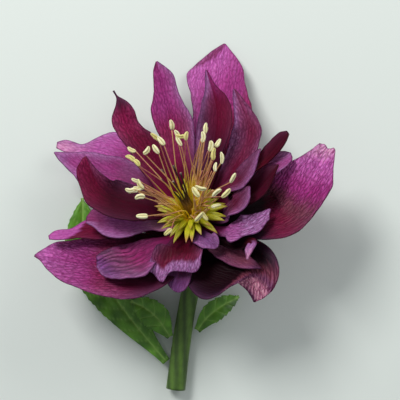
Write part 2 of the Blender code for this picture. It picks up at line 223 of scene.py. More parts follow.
Spot = namedtuple("Spot", "s t x y edge")
Rib = namedtuple("Rib", "point side face distance")
Petal = namedtuple(
    "Petal",
    "name level azimuth root midrib left right cup tones lilac wave waves curl ends folds veins slant",
    defaults=(0.3, (2.0, 0), ((0, 0, 0), (0, 0, 0)), (), 1.8, 0.6, 0.0),
)

# Each petal: level and azimuth of its base, width of its base, midrib points as azimuth, reach and rise, the
# half-widths on its left and right at the stations past its base, cup in degrees at base, middle and tip,
# tones from base to tip, whose black and dark stops deep in the bloom are partly its own dark colour and
# partly painted shade, and how lilac the left margin, the right margin and the whole petal are, partly its
# own lilac and partly painted sheen. Then height of the waves of its margins, their number and phase in
# degrees, curl of the left and right margin in degrees (each at base, middle and tip), how far each part of a
# ragged end reaches from the left margin to the right, depth of the lengthwise folds, how strongly the veins
# show, and how much further out the tones lie on the right side than on the left, as a share of the length,
# which paints shade over one side.
PETALS = (
    Petal(
        "sepal_top", 0, 73, 3.0, ((72, 14.3, 4.4), (76, 28.3, 10.4), (76.5, 42.3, 15.9)),
        (3.1, 4.6, 4.9, 5.0, 6.3, 8.0, 6.8, 5.0, 2.9, 0.2),
        (3.1, 6.0, 8.6, 9.6, 8.0, 6.3, 5.7, 4.4, 2.3, 0.2),
        (25, 35, 10), ((0, "dark"), (0.45, "wine"), (0.66, "magenta"), (0.96, "pink"), (1, "plum")),
        lilac=(0.4, 0.1, 0.1), wave=0.4, veins=0.8, slant=0.3,
    ),
    # Its black base and its darker side are painted shadow cast by the inner petals.
    Petal(
        "sepal_right", 0, 0, 3.0, ((-3, 12.0, -0.8), (-3, 21.6, 3.0), (16.7, 34.1, 11.0)),
        (6.0, 9.0, 9.4, 8.4, 7.4, 6.2, 4.9, 3.7, 2.8, 2.0),
        (5.0, 7.2, 8.1, 7.0, 6.5, 6.3, 5.2, 4.0, 3.0, 1.9),
        (5, 30, 20),
        ((0.36, "black"), (0.48, "maroon"), (0.58, "rosewood"), (0.71, "magenta"), (0.88, "pink"),
         (1, "blush")),
        lilac=(0.5, 0.1, 0.05), wave=0.5, waves=(2.0, 60), curl=((0, 0, 15), (0, 0, 15)),
        ends=(0.98, 0.985, 0.99, 0.99, 0.985, 0.98, 0.985, 0.99, 1.0, 1.0, 0.99), veins=1.1, slant=0.06,
    ),
    # Its black over nearly two thirds of its length and its darker side are painted shade in the hollow under
    # the inner petals.
    Petal(
        "sepal_lower_right", 0, -56, 3.0, ((-54, 11.5, -2.6), (-45, 18.7, -3.3), (-54, 21.7, -8.8)),
        (6.5, 8.5, 8.2, 7.4, 6.1, 4.9, 4.2, 3.1, 1.9, 0.2),
        (7.0, 12.0, 12.0, 8.0, 5.4, 3.8, 3.0, 1.8, 0.8, 0.2),
        (15, 35, 40),
        ((0.62, "black"), (0.69, "rosewood"), (0.74, "dusk"), (0.8, "ash"), (0.92, "ash"), (1, "dusk")),
        lilac=(0.15, 0.2, 0.0), wave=2.0, waves=(1.0, 128), veins=1.4, slant=-0.2,
    ),
    Petal(
        "sepal_lower_left", 0, -142, 3.0, ((-145, 14.8, -2.4), (-159, 25.5, -1.1), (-169, 37.0, 1.9)),
        (7.5, 10.5, 9.8, 8.8, 7.0, 5.5, 4.3, 3.0, 1.3, 0.2),
        (8.0, 9.4, 8.8, 7.7, 7.1, 5.9, 5.1, 4.2, 2.2, 0.2),
        (15, 30, 20),
        ((0, "black"), (0.35, "dark"), (0.55, "wine"), (0.72, "magenta"), (0.97, "pink"), (1, "maroon")),
        lilac=(0.3, 0.3, 0.2), wave=0.4, veins=1.0,
    ),
    Petal(
        "sepal_upper_left", 0, 128, 3.0, ((128, 16.3, 1.9), (137, 28.2, 5.4), (148, 37.2, 8.8)),
        (3.2, 5.5, 5.6, 5.0, 4.0, 3.0, 2.5, 2.0, 1.8, 0.9),
        (3.2, 6.0, 6.2, 6.2, 6.2, 2.4, 1.0, 1.4, 1.7, 0.9),
        (15, 30, 20), ((0, "maroon"), (0.4, "wine"), (0.55, "magenta"), (0.75, "pink"), (1, "blush")),
        lilac=(0.2, 0.9, 0.1), wave=0.4, veins=0.65,
    ),
    Petal(
        "petal_left_low", 0, 180, 1.6, ((178, 12.2, -0.3), (184, 21.7, 1.8), (188, 32.8, 4.6)),
        (1.5, 2.2, 2.8, 3.4, 2.8, 1.5, 1.5, 1.4, 1.2, 0.6),
        (0.9, 1.6, 2.4, 3.2, 3.5, 2.0, 1.6, 1.7, 1.5, 0.6),
        (15, 40, 30), ((0.5, "dark"), (0.6, "maroon"), (0.77, "maroon"), (0.82, "pink")),
        lilac=(0.1, 0.1, 0.0), wave=0.2, veins=0.4, slant=-0.16,
    ),
    Petal(
        "petal_left_back", 1, 154, 2.4, ((154, 13.5, 2.6), (157, 23.8, 6.6), (155, 34.0, 12.4)),
        (3.6, 5.8, 6.0, 5.5, 4.0, 2.1, 1.7, 1.4, 1.0, 0.2),
        (4.6, 7.4, 8.2, 8.2, 7.2, 5.9, 4.6, 3.1, 1.5, 0.2),
        (15, 30, 20),
        ((0, "dark"), (0.34, "maroon"), (0.48, "plum"), (0.64, "magenta"), (0.85, "magenta"), (1, "violet")),
        lilac=(1.0, 0.9, 0.4),
    ),
    Petal(
        "petal_right_back", 1, 20, 2.2, ((21, 12.7, 2.6), (24, 19.3, 6.6), (19.5, 25.4, 10.1)),
        (1.9, 2.8, 3.2, 3.6, 3.8, 3.6, 3.3, 2.8, 2.1, 1.0),
        (1.9, 2.8, 3.3, 3.6, 3.8, 3.8, 3.6, 3.2, 2.6, 1.2),
        (5, 35, 40), ((0, "black"), (0.6, "dark"), (0.75, "plum"), (1, "magenta")),
        lilac=(0.8, 0.5, 0.5),
    ),
    Petal(
        "petal_bottom", 1, -99, 2.4, ((-101, 9.5, -0.8), (-103, 13.3, -1.6), (-105, 16.8, -4.4)),
        (1.5, 2.2, 2.5, 2.7, 2.9, 2.9, 2.7, 2.3, 1.7, 0.4),
        (1.5, 2.2, 2.6, 2.9, 3.1, 3.1, 2.9, 2.5, 1.8, 0.4),
        (20, 40, 40), ((0, "black"), (0.6, "dark"), (1, "violet")),
        lilac=(0.3, 0.3, 0.1),
    ),
    Petal(
        "petal_narrow", 2, 38, 1.6, ((32, 13.4, 5.0), (28, 20.6, 9.3), (27, 26.6, 14.0)),
        (0.9, 1.3, 1.6, 1.9, 2.2, 2.4, 2.4, 2.2, 1.8, 0.7),
        (0.9, 1.2, 1.4, 1.6, 1.8, 2.0, 2.1, 2.0, 1.7, 0.7),
        (10, 35, 35), ((0, "black"), (0.6, "garnet"), (1, "dark")),
        lilac=(0.1, 0.0, 0.0), wave=0.1, veins=0.4,
    ),
    # The dusk and ash near its base are painted light, lighter than its own colour against the shade of the
    # petals over it.
    Petal(
        "petal_low_right", 2, -54, 2.2, ((-53, 9.6, -0.9), (-49, 14.2, -0.9), (-41, 20.0, -2.0)),
        (1.5, 2.3, 2.6, 2.6, 2.4, 1.9, 1.6, 1.2, 0.7, 0.2),
        (1.5, 2.2, 2.4, 2.4, 2.2, 1.8, 1.5, 1.1, 0.6, 0.2),
        (20, 50, 40), ((0, "dusk"), (0.3, "ash"), (0.5, "rosewood"), (0.8, "rosewood"), (1, "dark")),
        lilac=(0.1, 0.3, 0.1),
    ),
    Petal(
        "petal_hooked", 3, 122, 2.4,
        ((123, 13.4, 6.0), (125, 24.3, 13.4), (121.9, 28.4, 17.6), (121.7, 30.5, 19.0)),
        (2.5, 3.6, 3.7, 3.2, 3.1, 2.9, 2.1, 1.0, 0.3, 0.2),
        (2.6, 4.2, 4.8, 4.3, 3.1, 3.1, 2.9, 1.9, 0.3, 0.2),
        (20, 50, 30),
        ((0, "wine"), (0.4, "maroon"), (0.62, "maroon"), (0.74, "wine"), (0.83, "wine"), (0.92, "dark"),
         (1, "black")),
        lilac=(0.2, 0.2, 0.0), curl=((0, 0, 0), (0, -40, -30)), veins=0.9,
    ),
    # Its black and dark tones are painted shade: the petal lies deep in the shade beside petal_right_inner.
    Petal(
        "petal_right_dark", 3, 6, 2.2, ((7, 10.5, 3.8), (7, 15.2, 7.0), (13, 21.4, 11.9)),
        (1.8, 2.6, 3.0, 3.2, 3.1, 2.8, 2.5, 2.0, 1.1, 0.2),
        (1.9, 3.0, 3.4, 3.5, 3.3, 2.7, 2.3, 1.7, 1.0, 0.2),
        (20, 45, 40), ((0.3, "black"), (0.55, "dark")),
        lilac=(0.1, 0.0, 0.0), wave=0.2, veins=0.3,
    ),
    Petal(
        "petal_curled", 3, -45, 2.2,
        ((-45, 9.3, 0.7), (-43, 13.7, 1.5), (-35, 16.6, 2.9), (-43, 17.7, 3.2), (-48, 18.5, 2.4)),
        (1.6, 2.3, 2.5, 2.3, 1.6, 1.1, 1.0, 0.9, 0.5, 0.2),
        (1.2, 1.3, 1.3, 1.2, 1.1, 1.0, 1.0, 0.9, 0.5, 0.2),
        (20, 60, 60), ((0.66, "black"), (0.76, "garnet"), (0.82, "lilac"), (1, "blush")),
        lilac=(0.0, 0.0, 0.0),
    ),
    Petal(
        "petal_lower_left", 3, -141, 2.2, ((-145, 10.5, 0.9), (-147, 17.2, 1.3), (-156, 24.0, 1.0)),
        (2.0, 3.6, 5.5, 7.4, 6.8, 5.9, 5.4, 4.8, 3.6, 1.4),
        (1.4, 2.0, 2.6, 3.1, 3.5, 3.5, 3.3, 3.0, 2.4, 1.6),
        (20, 25, 40), ((0, "maroon"), (0.3, "plum"), (0.6, "plum"), (0.8, "dusk"), (1, "violet")),
        lilac=(0.7, 0.2, 0.05), folds=5.0, slant=0.3,
    ),
    Petal(
        "petal_top_left", 4, 98, 2.4, ((99, 12.1, 8.2), (99, 21.8, 15.2), (100, 31.0, 22.5)),
        (2.2, 3.0, 3.4, 4.2, 4.3, 2.8, 2.2, 1.8, 1.3, 0.2),
        (2.3, 4.0, 4.7, 4.9, 3.7, 3.1, 3.1, 2.9, 1.7, 0.2),
        (30, 50, 30), ((0, "maroon"), (0.54, "wine"), (0.74, "magenta"), (0.94, "magenta"), (1, "plum")),
        lilac=(0.1, 1.0, 0.1), veins=0.8,
    ),
    Petal(
        "petal_top_right", 4, 47, 2.4, ((41, 12.1, 5.7), (45, 20.5, 12.9), (61, 25.2, 19.6)),
        (2.2, 3.1, 3.5, 3.8, 3.8, 2.9, 2.4, 1.7, 1.0, 0.2),
        (2.2, 3.6, 4.6, 3.8, 3.2, 2.2, 1.7, 1.2, 0.8, 0.2),
        (30, 50, 40), ((0, "dark"), (0.4, "maroon"), (0.7, "maroon"), (1, "wine")),
        lilac=(1.2, 0.3, 0.15), curl=((0, 20, 20), (0, 0, 0)), veins=0.9, slant=0.3,
    ),
    # The blush and pink across its middle are partly its own pink and partly painted light against the shade
    # that petal_left_inner casts on it.
    Petal(
        "petal_left_folded", 4, 190, 2.2, ((188, 9.5, 2.8), (188, 16.3, 4.9), (185, 23.8, 6.0)),
        (1.8, 2.8, 4.0, 5.2, 5.2, 4.2, 3.2, 2.0, 1.1, 0.4),
        (1.8, 2.6, 2.9, 3.2, 3.6, 4.0, 4.2, 4.0, 3.2, 1.2),
        (30, 40, 30), ((0, "plum"), (0.25, "blush"), (0.5, "pink"), (0.7, "pink"), (0.88, "plum")),
        lilac=(1.4, 0.2, 0.2),
    ),
    # The black and garnet of its cup are partly its own dark red and partly painted shade in the hollow of
    # the cup.
    Petal(
        "petal_bottom_left", 4, -112, 2.4, ((-107, 9.3, 1.9), (-107, 12.6, 1.3), (-107, 16.9, -1.1)),
        (3.2, 5.6, 6.2, 6.6, 6.9, 7.0, 7.0, 6.9, 6.8, 6.6),
        (2.2, 3.8, 4.8, 5.4, 5.8, 5.8, 5.6, 5.4, 5.2, 5.0),
        (30, 70, 10), ((0, "black"), (0.35, "garnet"), (0.62, "garnet"), (0.76, "maroon"), (0.85, "lilac")),
        lilac=(0.4, 0.4, 0.0), wave=0.6,
        ends=(0.67, 0.76, 0.79, 0.79, 0.80, 0.81, 0.86, 1.0, 0.98, 0.91, 0.87), folds=1.5, veins=1.0,
    ),
    Petal(
        "petal_lower_right", 4, -33, 2.2, ((-33, 9.7, 2.5), (-25, 14.0, 3.9), (-7, 18.4, 5.2)),
        (1.1, 2.4, 3.1, 3.4, 2.9, 2.0, 1.5, 1.0, 0.6, 0.2),
        (1.1, 2.1, 4.3, 2.8, 2.9, 2.5, 2.2, 1.9, 0.9, 0.2),
        (10, 25, 20), ((0, "maroon"), (0.25, "plum"), (0.45, "pink"), (0.7, "lilac")),
        lilac=(0.4, 0.6, 0.5), wave=0.5, veins=1.1,
    ),
    Petal(
        "petal_top_middle", 5, 66, 2.2, ((64, 11.9, 8.7), (66, 19.0, 16.5), (75, 25.1, 24.3)),
        (2.4, 3.8, 4.4, 4.6, 4.3, 3.4, 2.3, 1.4, 0.8, 0.2),
        (2.0, 3.0, 3.6, 4.0, 3.8, 3.0, 1.9, 1.0, 0.6, 0.2),
        (30, 60, 40), ((0.4, "dark"), (0.75, "maroon"), (1, "magenta")),
        lilac=(1.8, 0.1, 0.0), wave=0.2, curl=((0, 30, 40), (0, 0, 0)),
    ),
    # Its dark tones are partly its own dark maroon and partly painted shade inside its cup.
    Petal(
        "petal_left_inner", 5, 167, 2.4, ((172, 10.3, 5.4), (177, 18.4, 12.3), (165, 22.1, 19.5)),
        (3.0, 6.0, 6.6, 6.8, 5.6, 4.0, 3.8, 3.5, 2.8, 0.8),
        (2.8, 4.6, 4.8, 4.4, 3.3, 2.5, 1.7, 1.0, 0.5, 0.2),
        (30, 60, 35), ((0.6, "dark"), (0.8, "maroon"), (1, "wine")),
        lilac=(0.1, 0.4, 0.0), wave=0.2, curl=((-10, -25, -10), (0, 32, 10)), veins=0.9,
    ),
    Petal(
        "petal_right_inner", 5, 18, 1.8, ((23, 9.0, 6.1), (14, 12.8, 9.8), (20, 18.5, 16.0)),
        (1.5, 2.2, 2.7, 3.0, 2.7, 2.2, 1.8, 1.3, 0.8, 0.2),
        (1.5, 2.2, 2.5, 2.6, 2.2, 1.9, 1.6, 1.2, 0.7, 0.2),
        (30, 30, 30), ((0, "dark"), (0.4, "maroon"), (1, "dusk")),
        lilac=(0.2, 0.8, 0.15),
    ),
    Petal(
        "petal_right_small", 5, -12, 1.6, ((-7, 9.0, 4.7), (-6, 11.0, 7.0), (2, 14.2, 10.3)),
        (1.1, 1.8, 2.1, 2.3, 2.2, 2.0, 1.7, 1.3, 0.8, 0.2),
        (1.1, 2.2, 2.9, 3.2, 3.3, 3.3, 3.1, 2.7, 1.9, 0.3),
        (20, 30, 30), ((0, "dark"), (0.35, "dusk"), (0.65, "maroon"), (1, "dusk")),
        lilac=(0.2, 1.0, 0.1), wave=0.2,
    ),
    Petal(
        "petal_bottom_small", 5, -64, 1.8, ((-63, 9.0, 3.9), (-61, 10.4, 3.5), (-60, 11.5, 2.5)),
        (1.1, 1.6, 1.8, 2.0, 2.0, 1.9, 1.7, 1.4, 1.0, 0.3),
        (1.7, 2.9, 3.3, 3.4, 3.3, 2.8, 2.2, 1.7, 1.1, 0.3),
        (20, 30, 30), ((0, "maroon"), (0.3, "violet")),
        lilac=(0.9, 0.9, 0.3), wave=0.1,
    ),
)

# Bracts: four midrib points as x, y, z, then width, base width, widest point and cup
Bract = namedtuple("Bract", "name midrib width root widest cup")
BRACTS = (
    Bract("bract_left",
          ((-5.8, -27.0, -9.4), (-8.5, -23.0, -8.4), (-11.5, -20.5, -8.2), (-15.0, -19.0, -9.5)),
          6.5, 2.0, 0.45, (30, 30, 20)),
    Bract("bract_right",
          ((1.3, -25.5, -9.4), (3.6, -22.5, -8.4), (7.0, -20.0, -9.2), (11.0, -18.0, -11.0)),
          5.0, 2.0, 0.45, (30, 30, 20)),
    Bract("bract_high",
          ((-6.8, -33.0, -10.3), (-16.0, -22.0, -11.0), (-25.5, -7.0, -11.2), (-26.5, 5.5, -10.5)),
          11.0, 2.4, 0.60, (20, 20, 10)),
)

# The form of a bract, in millimetres: how its outline curves, its teeth and where they set in and run out,
# the groove over its midrib, the side veins and the quilting between them
BRACT_ROOT_SHIFT = 0.6
CLAW_CURVE = 1.4
TIP_CURVE = 2.2
TIP_BLUNT = 0.9
TOOTH_SPACING = 1.6
TOOTH_HEIGHT = 0.35
TOOTHED_FROM = (0.25, 0.45)
TOOTHED_TO = (0.93, 1.0)
GROOVE_DEPTH = 0.25
GROOVE_WIDTH = 0.5
BRANCH_DEPTH = 0.10
BRANCH_SPACING = 3.2
BRANCH_SLOPE = 0.9
BRANCH_SHARPNESS = 6
QUILTING = Pattern(0.12, (0.8, 0.8))
BRACT_THIN_REACH = 1.0

# A bract's tones: deep, fresh and vein. How the first two cloud, then the midrib's width and how strong and
# sharp the side veins are
BRACT_TONES = ((58, 108, 18), (106, 168, 40), (142, 188, 84))
BRACT_FRESH_MEAN = 0.5
BRACT_CLOUDS = Pattern(0.9, (0.35, 0.35))
RIB_WIDTH = 0.35
BRANCH_TINT = 0.6
BRANCH_TINT_SHARPNESS = 14

# Stamens: each anther as the photograph shows it, x and y in its pixels and the turn of its length in
# degrees, then how far its middle is from the crown, as a share of the whole
STAMEN_LENGTH = 20.5
ANTHERS_SEEN = (
    (132, 149, 152, 1.0), (146, 150, 55, 1.0), (156, 149, 125, 1.0), (155, 137, 140, 1.05),
    (161, 141, 130, 1.0), (130, 159, 150, 1.05), (136, 163, 135, 1.0), (136, 180, 160, 1.0),
    (141, 184, 120, 0.95), (130, 189, 175, 1.05), (133, 192, 8, 1.0), (138, 187, 0, 0.95),
    (140, 198, 10, 1.0), (142, 216, 0, 1.0), (171, 125, 100, 1.05), (176, 135, 110, 1.0),
    (181, 135, 0, 1.0), (179, 141, 120, 0.95), (187, 136, 80, 1.0), (206, 128, 85, 1.05),
    (202, 137, 90, 1.0), (205, 131, 60, 1.0), (210, 146, 82, 1.0), (218, 143, 60, 1.0),
    (214, 154, 85, 0.95), (221, 158, 92, 1.0), (216, 167, 85, 0.95), (233, 178, 62, 1.0),
    (226, 193, 45, 1.0), (217, 193, 40, 0.95), (216, 206, 15, 0.82), (168, 232, 40, 0.62),
    (196, 192, 125, 1.0), (201, 187, 165, 0.92), (199, 217, 48, 0.58), (205, 216, 125, 0.58),
)

# Filaments: how many have lost their anther, how many degrees apart at most the two stand between which one
# ends, how clear of the styles it stays and how far out it ends. Then where all of them start and how they
# rise and bend, and their radius with its shares at the base and lost on the way to the tip
FILAMENTS_SPENT = 56
SPENT_SPREAD = 20.0
STYLES_CLEAR = 24.0
SPENT_REACH = (0.55, 0.95)
STAMEN_RING = 1.75
RING_SHARES = (0.5, 1.25)
RING_ASIDE = 0.5
FILAMENT_UPRIGHT = 0.45
FILAMENT_BEND = 0.45
FILAMENT_WIGGLE = 1.1
FILAMENT_RADIUS = 0.12
FILAMENT_TAPER = (1.5, 0.6)
FILAMENT_STEPS = 14
FILAMENT_SIDES = 8

# Anthers: places along them and share of their radius there, how they lean, vary, bow and roll, where their
# filament joins, and their two lobes
ANTHER_LENGTH = 2.5
ANTHER_RADIUS = 0.47
ANTHER_SIDES = 20
ANTHER_OUTLINE = (
    (0.0, 0.0), (0.03, 0.42), (0.12, 0.76), (0.3, 0.98), (0.5, 1.0),
    (0.7, 0.9), (0.87, 0.68), (0.97, 0.38), (1.0, 0.0),
)
ANTHER_TILT = 0.35
ANTHER_LENGTHS = (0.8, 1.15)
ANTHER_WIDTHS = (0.8, 1.2)
ANTHER_BOW = 0.4
ANTHER_LUMPS = (0.88, 1.1)
ANTHER_ROLL = 0.8
ANTHER_JOINT = 0.38
ANTHER_LOBES = 0.14
ANTHER_GROOVE = 0.42
ANTHER_GROOVE_TURN = 0.42

# Tints of tubes: three tones from base to tip, where the second and the third set in, and how strong the
# third is at least and how much more at most
Fade = namedtuple("Fade", "tones second_from third_from least more", defaults=(1.0, 0.0))
FILAMENT_FADE = Fade(((252, 222, 50), (230, 192, 120), (178, 104, 92)), (0.32, 0.65), (0.3, 0.8), 0.4, 0.55)
NECTARY_FADE = Fade(((238, 200, 30), (190, 188, 34), (172, 100, 66)), (0.1, 0.5), (0.68, 0.97), 0.2, 0.8)
CARPEL_FADE = Fade(((120, 84, 24), (36, 8, 14), (232, 200, 170)), (0.3, 0.55), (0.94, 0.99))

# Cream, ochre of the ripest, and olive along the groove between an anther's lobes, painted there as shade in
# the groove
ANTHER_TONES = ((240, 234, 190), (214, 200, 100), (150, 140, 50))
ANTHER_RIPE = 0.8
ANTHER_GROOVE_SHADE = 0.8
ANTHER_GROOVE_SHADE_TURN = 0.4

# Nectaries: rows of slim pointed horns as count, length, reach and rise of their bases, and lean from the
# axis in degrees. Then how far they vary, how their lean grows from base to tip, places along them and share
# of their radius there, and the slit of a mouth
NECTARY_ROWS = (
    (22, 6.9, 2.2, 0.3, 78.0),
    (20, 5.2, 2.0, 0.7, 60.0),
)
NECTARY_TURN = 7
NECTARY_TILT = (-14, 12)
NECTARY_LENGTHS = (0.75, 1.15)
NECTARY_BEND = (0.8, 0.25)
NECTARY_STEPS = 16
NECTARY_SIDES = 16
NECTARY_RADIUS = 0.6
NECTARY_PLACES = (0.0, 0.15, 0.35, 0.5, 0.65, 0.8, 0.92, 1.0)
NECTARY_SHARES = (0.6, 0.76, 0.95, 1.0, 0.86, 0.56, 0.24, 0.0)
NECTARY_OVAL = 0.2
NECTARY_MOUTH = 0.42
MOUTH_FROM = (0.4, 0.7)
MOUTH_TURN = 0.5

# Carpels: slender bodies that spread upwards and narrow to styles, which lean over together
CARPEL_COUNT = 5
CARPEL_RING = 0.45
CARPEL_SPREAD = 2.0
CARPEL_SPREAD_CURVE = 2.0
CARPEL_SEAT = 0.2
CARPEL_LENGTH = 11.0
CARPEL_STEPS = 18
CARPEL_SIDES = 12
STYLE_REACH = 5.0
STYLE_CURVE = 1.8
STYLE_AZIMUTH = 132.0
STYLE_FROM = (0.3, 0.55)
STYLE_RADIUS = 0.20
BODY_RADIUS_MORE = 0.40
STIGMA_RADIUS_MORE = 0.10
STIGMA_FROM = (0.92, 1.0)

# Where a tube is welded: points closer than this
WELD = 0.0005

# Floor and lights, in metres
FLOOR_SIZE = 3.0
FLOOR_SHADE = 0.94
SKY_COLOUR = (0.90, 0.95, 1.0, 1.0)
LAMP_TARGET = Vector((0.0, 0.0, 0.02))
KEY_LAMP_SIZE = 0.26
KEY_LAMP_PLACE = Vector((-0.30, 0.42, 0.50))
RIM_LAMP_SHARE = 0.25
RIM_LAMP_SIZE = 0.3
RIM_LAMP_PLACE = Vector((0.35, 0.35, 0.25))
CLIP_START = 0.01

# The seed of the draws and of the first petal, and the step to the next one's
SEED = 7
PETAL_SEED_STEP = 17


def across(direction):
    """Unit direction square to the bloom's axis, nearest to the one given."""
    return (direction - direction.dot(AXIS) * AXIS).normalized()


RIGHT = across(Vector((1, 0, 0)))
UP = AXIS.cross(RIGHT)
TURN_X = Matrix.Rotation(math.radians(REST_TURN_X), 4, "X")
TURN = TURN_X @ Matrix.Rotation(math.radians(REST_TURN_Y), 4, "Y")
PLACE = Matrix.Scale(MM, 4) @ Matrix.Translation(REST_SHIFT) @ TURN
EYE = Vector((
    (PHOTO_SIZE / 2 - RECEPTACLE_PIXEL[0]) * PIXEL,
    (RECEPTACLE_PIXEL[1] - PHOTO_SIZE / 2) * PIXEL,
    CAMERA_DISTANCE,
))


def on_bloom(azimuth, reach, rise):
    """Point in the front view from its azimuth round the axis, reach out from it and rise along it."""
    turn = math.radians(azimuth)
    return rise * AXIS + reach * (math.cos(turn) * RIGHT + math.sin(turn) * UP)


def linear(tone):
    """Colour as light from red, green and blue of 0 to 255 on the sRGB curve."""
    return Vector([(c / 255 / 12.92) if c < 11 else ((c / 255 + 0.055) / 1.055) ** 2.4 for c in tone])


def clamp(x):
    return min(1.0, max(0.0, x))


def smooth(low, high, x):
    """0 up to low, 1 from high, and an even rise between them."""
    share = clamp((x - low) / (high - low))
    return share * share * (3 - 2 * share)


def bell(x, width):
    """1 at x = 0, fading to nothing within about two widths."""
    return math.exp(-(x / width) ** 2)


def shares(steps):
    """The shares of a length at the ends of its equal steps."""
    return [i / steps for i in range(steps + 1)]


def blend3(values, s):
    """Smooth value at s from the values at 0, 0.5 and 1."""
    root, middle, tip = values
    return root * (1 - s) * (1 - 2 * s) + middle * 4 * s * (1 - s) + tip * s * (2 * s - 1)


def clouds(x, y, seed, pattern):
    """Smooth noise, from about minus to plus the pattern's depth."""
    across_scale, along_scale = pattern.scale
    return pattern.depth * noise.noise(Vector((x * across_scale, y * along_scale, seed + pattern.seed)))


def span_at(places, s):
    """The number of the span between places that s lies in, and how far through it."""
    i = max(k for k, place in enumerate(places[:-1]) if place <= s)
    return i, (s - places[i]) / (places[i + 1] - places[i])


def through(places, values, s):
    """Smooth curve through numbers or points at places, read at s."""
    i, u = span_at(places, s)
    span = places[i + 1] - places[i]

    def slope(k):
        low, high = max(k - 1, 0), min(k + 1, len(places) - 1)
        return (values[high] - values[low]) / (places[high] - places[low])

    return (
        values[i] * (1 + 2 * u) * (1 - u) ** 2
        + slope(i) * span * u * (1 - u) ** 2
        + values[i + 1] * u * u * (3 - 2 * u)
        + slope(i + 1) * span * u * u * (u - 1)
    )


class Curve:
    """Smooth curve through points, read by its share of their chord length."""

    def __init__(self, points):
        self.points = [Vector(p) for p in points]
        gaps = [(b - a).length for a, b in zip(self.points, self.points[1:])]
        self.length = sum(gaps)
        self.knots = [sum(gaps[:i]) / self.length for i in range(len(self.points))]

    def at(self, s):
        return through(self.knots, self.points, s)

    def along(self, s, step=0.01):
        return (self.at(min(s + step, 1.0)) - self.at(max(s - step, 0.0))).normalized()


def half_row(rib, sign, half, steps, lean_at, rise_at):
    """Points of a row from midrib to margin, each with how far it lies across, along and from the margin."""
    out = lift = 0.0
    row = {}
    for k, x in enumerate(shares(steps)):
        if k:
            lean = lean_at(x - 0.5 / steps)
            out += math.cos(lean) * half / steps
            lift += math.sin(lean) * half / steps
        point = rib.point + sign * out * rib.side + (lift + rise_at(x)) * rib.face
        row[sign * k] = (point, sign * x * half, rib.distance, (1 - x) * half)
    return row


def half_width(petal, s, side):
    """Width of one half at s along the midrib, in millimetres."""
    widths = (petal.root / 2, *(petal.right if side > 0 else petal.left))
    return max(TIP_WIDTH / 2, through(STATIONS, widths, s))


def streaks(x, y, seed):
    """Uneven ridges that run along a petal, from -1 to 1."""
    return clouds(x, y, seed, STREAKS) + clouds(x, y, seed, FINE_STREAKS)


def pleat(petal, s, x, y, seed):
    """Depth of the fine pleats near the tip of a strongly folded petal."""
    share = smooth(*PLEAT_FOLDS, petal.folds) * smooth(*PLEATED_FROM, s)
    turns = x / PLEAT_SPACING + clouds(x, y, seed, PLEAT_BEND)
    return PLEAT_DEPTH * share * math.sin(2 * math.pi * turns)


def petal_curve(petal):
    """The midrib, from its seat on the receptacle over the nectaries to its tip."""
    base_rise = FIRST_LEVEL + LEVEL_STEP * petal.level
    neck_rise = base_rise + NECK_RISE + NECK_STEP * petal.level
    base = on_bloom(petal.azimuth, RECEPTACLE_RADIUS - SEAT_DEPTH, base_rise)
    neck = on_bloom(petal.azimuth, NECK_REACH, neck_rise)
    return Curve([base, neck] + [on_bloom(*point) for point in petal.midrib])


def petal_row(petal, curve, s, steps, seed):
    """The points of one row across a petal, cupped, curled, waved and creased."""
    along = curve.along(s)
    face = (AXIS - AXIS.dot(along) * along).normalized()
    rib = Rib(curve.at(s), along.cross(face), face, s * curve.length)
    cup = math.radians(blend3(petal.cup, s))
    number, phase = petal.waves
    free = smooth(*SHAPED_FROM, s)
    row = {}
    for sign in (-1, 1):
        uneven = clouds(rib.distance, sign, seed, MARGIN_UNEVEN) * smooth(*UNEVEN_FROM, s)
        half = half_width(petal, s, sign) + uneven * (1 - s ** MARGIN_FADE_POWER)
        curl = math.radians(blend3(petal.curl[sign > 0], s)) * smooth(*CURLED_FROM, s)
        lag = WAVE_LAG if sign > 0 else 0.0
        ripple = math.sin(2 * math.pi * number * s + math.radians(phase + lag))

        def lean_at(x):
            return cup / 2 * x + curl * smooth(CURL_START, 1.0, x)

        def rise_at(x):
            beside = sign * x * half
            wave = petal.wave * x * x * math.sin(math.pi * s) * ripple
            swell = clouds(beside, rib.distance, seed, SWELLS)
            ridge = RIDGE_DEPTH * petal.folds * streaks(beside, rib.distance, seed)
            crease = CREASE_DEPTH * bell(x * half, CREASE_WIDTH)
            return wave + free * (swell + ridge - (crease + pleat(petal, s, beside, rib.distance, seed)))

        row.update(half_row(rib, sign, half, steps, lean_at, rise_at))
    return row


def ragged(table, ends, rows, steps, length):
    """The rows pulled back so that each column ends as far along as ends gives from left to right."""
    places = [-1 + 2 * i / (len(ends) - 1) for i in range(len(ends))]
    pulled = [{} for _ in table]
    for k in range(-steps, steps + 1):
        reach = min(1.0, through(places, ends, k / steps))
        for i in range(rows + 1):
            spot = i * reach
            low = min(int(spot), rows - 1)
            share = spot - low
            (first, x0, y0, e0), (second, x1, y1, e1) = table[low][k], table[low + 1][k]
            edge = min(e0 + (e1 - e0) * share, (rows - i) * reach / rows * length)
            pulled[i][k] = (first.lerp(second, share), x0 + (x1 - x0) * share, y0 + (y1 - y0) * share, edge)
    return pulled


def tone_at(stops, s):
    """Colour at s between stops of place and tone, the same before the first and after the last."""
    for (low, first), (high, second) in zip(stops, stops[1:]):
        if s <= high:
            return linear(TONES[first]).lerp(linear(TONES[second]), smooth(low, high, s))
    return linear(TONES[stops[-1][1]])


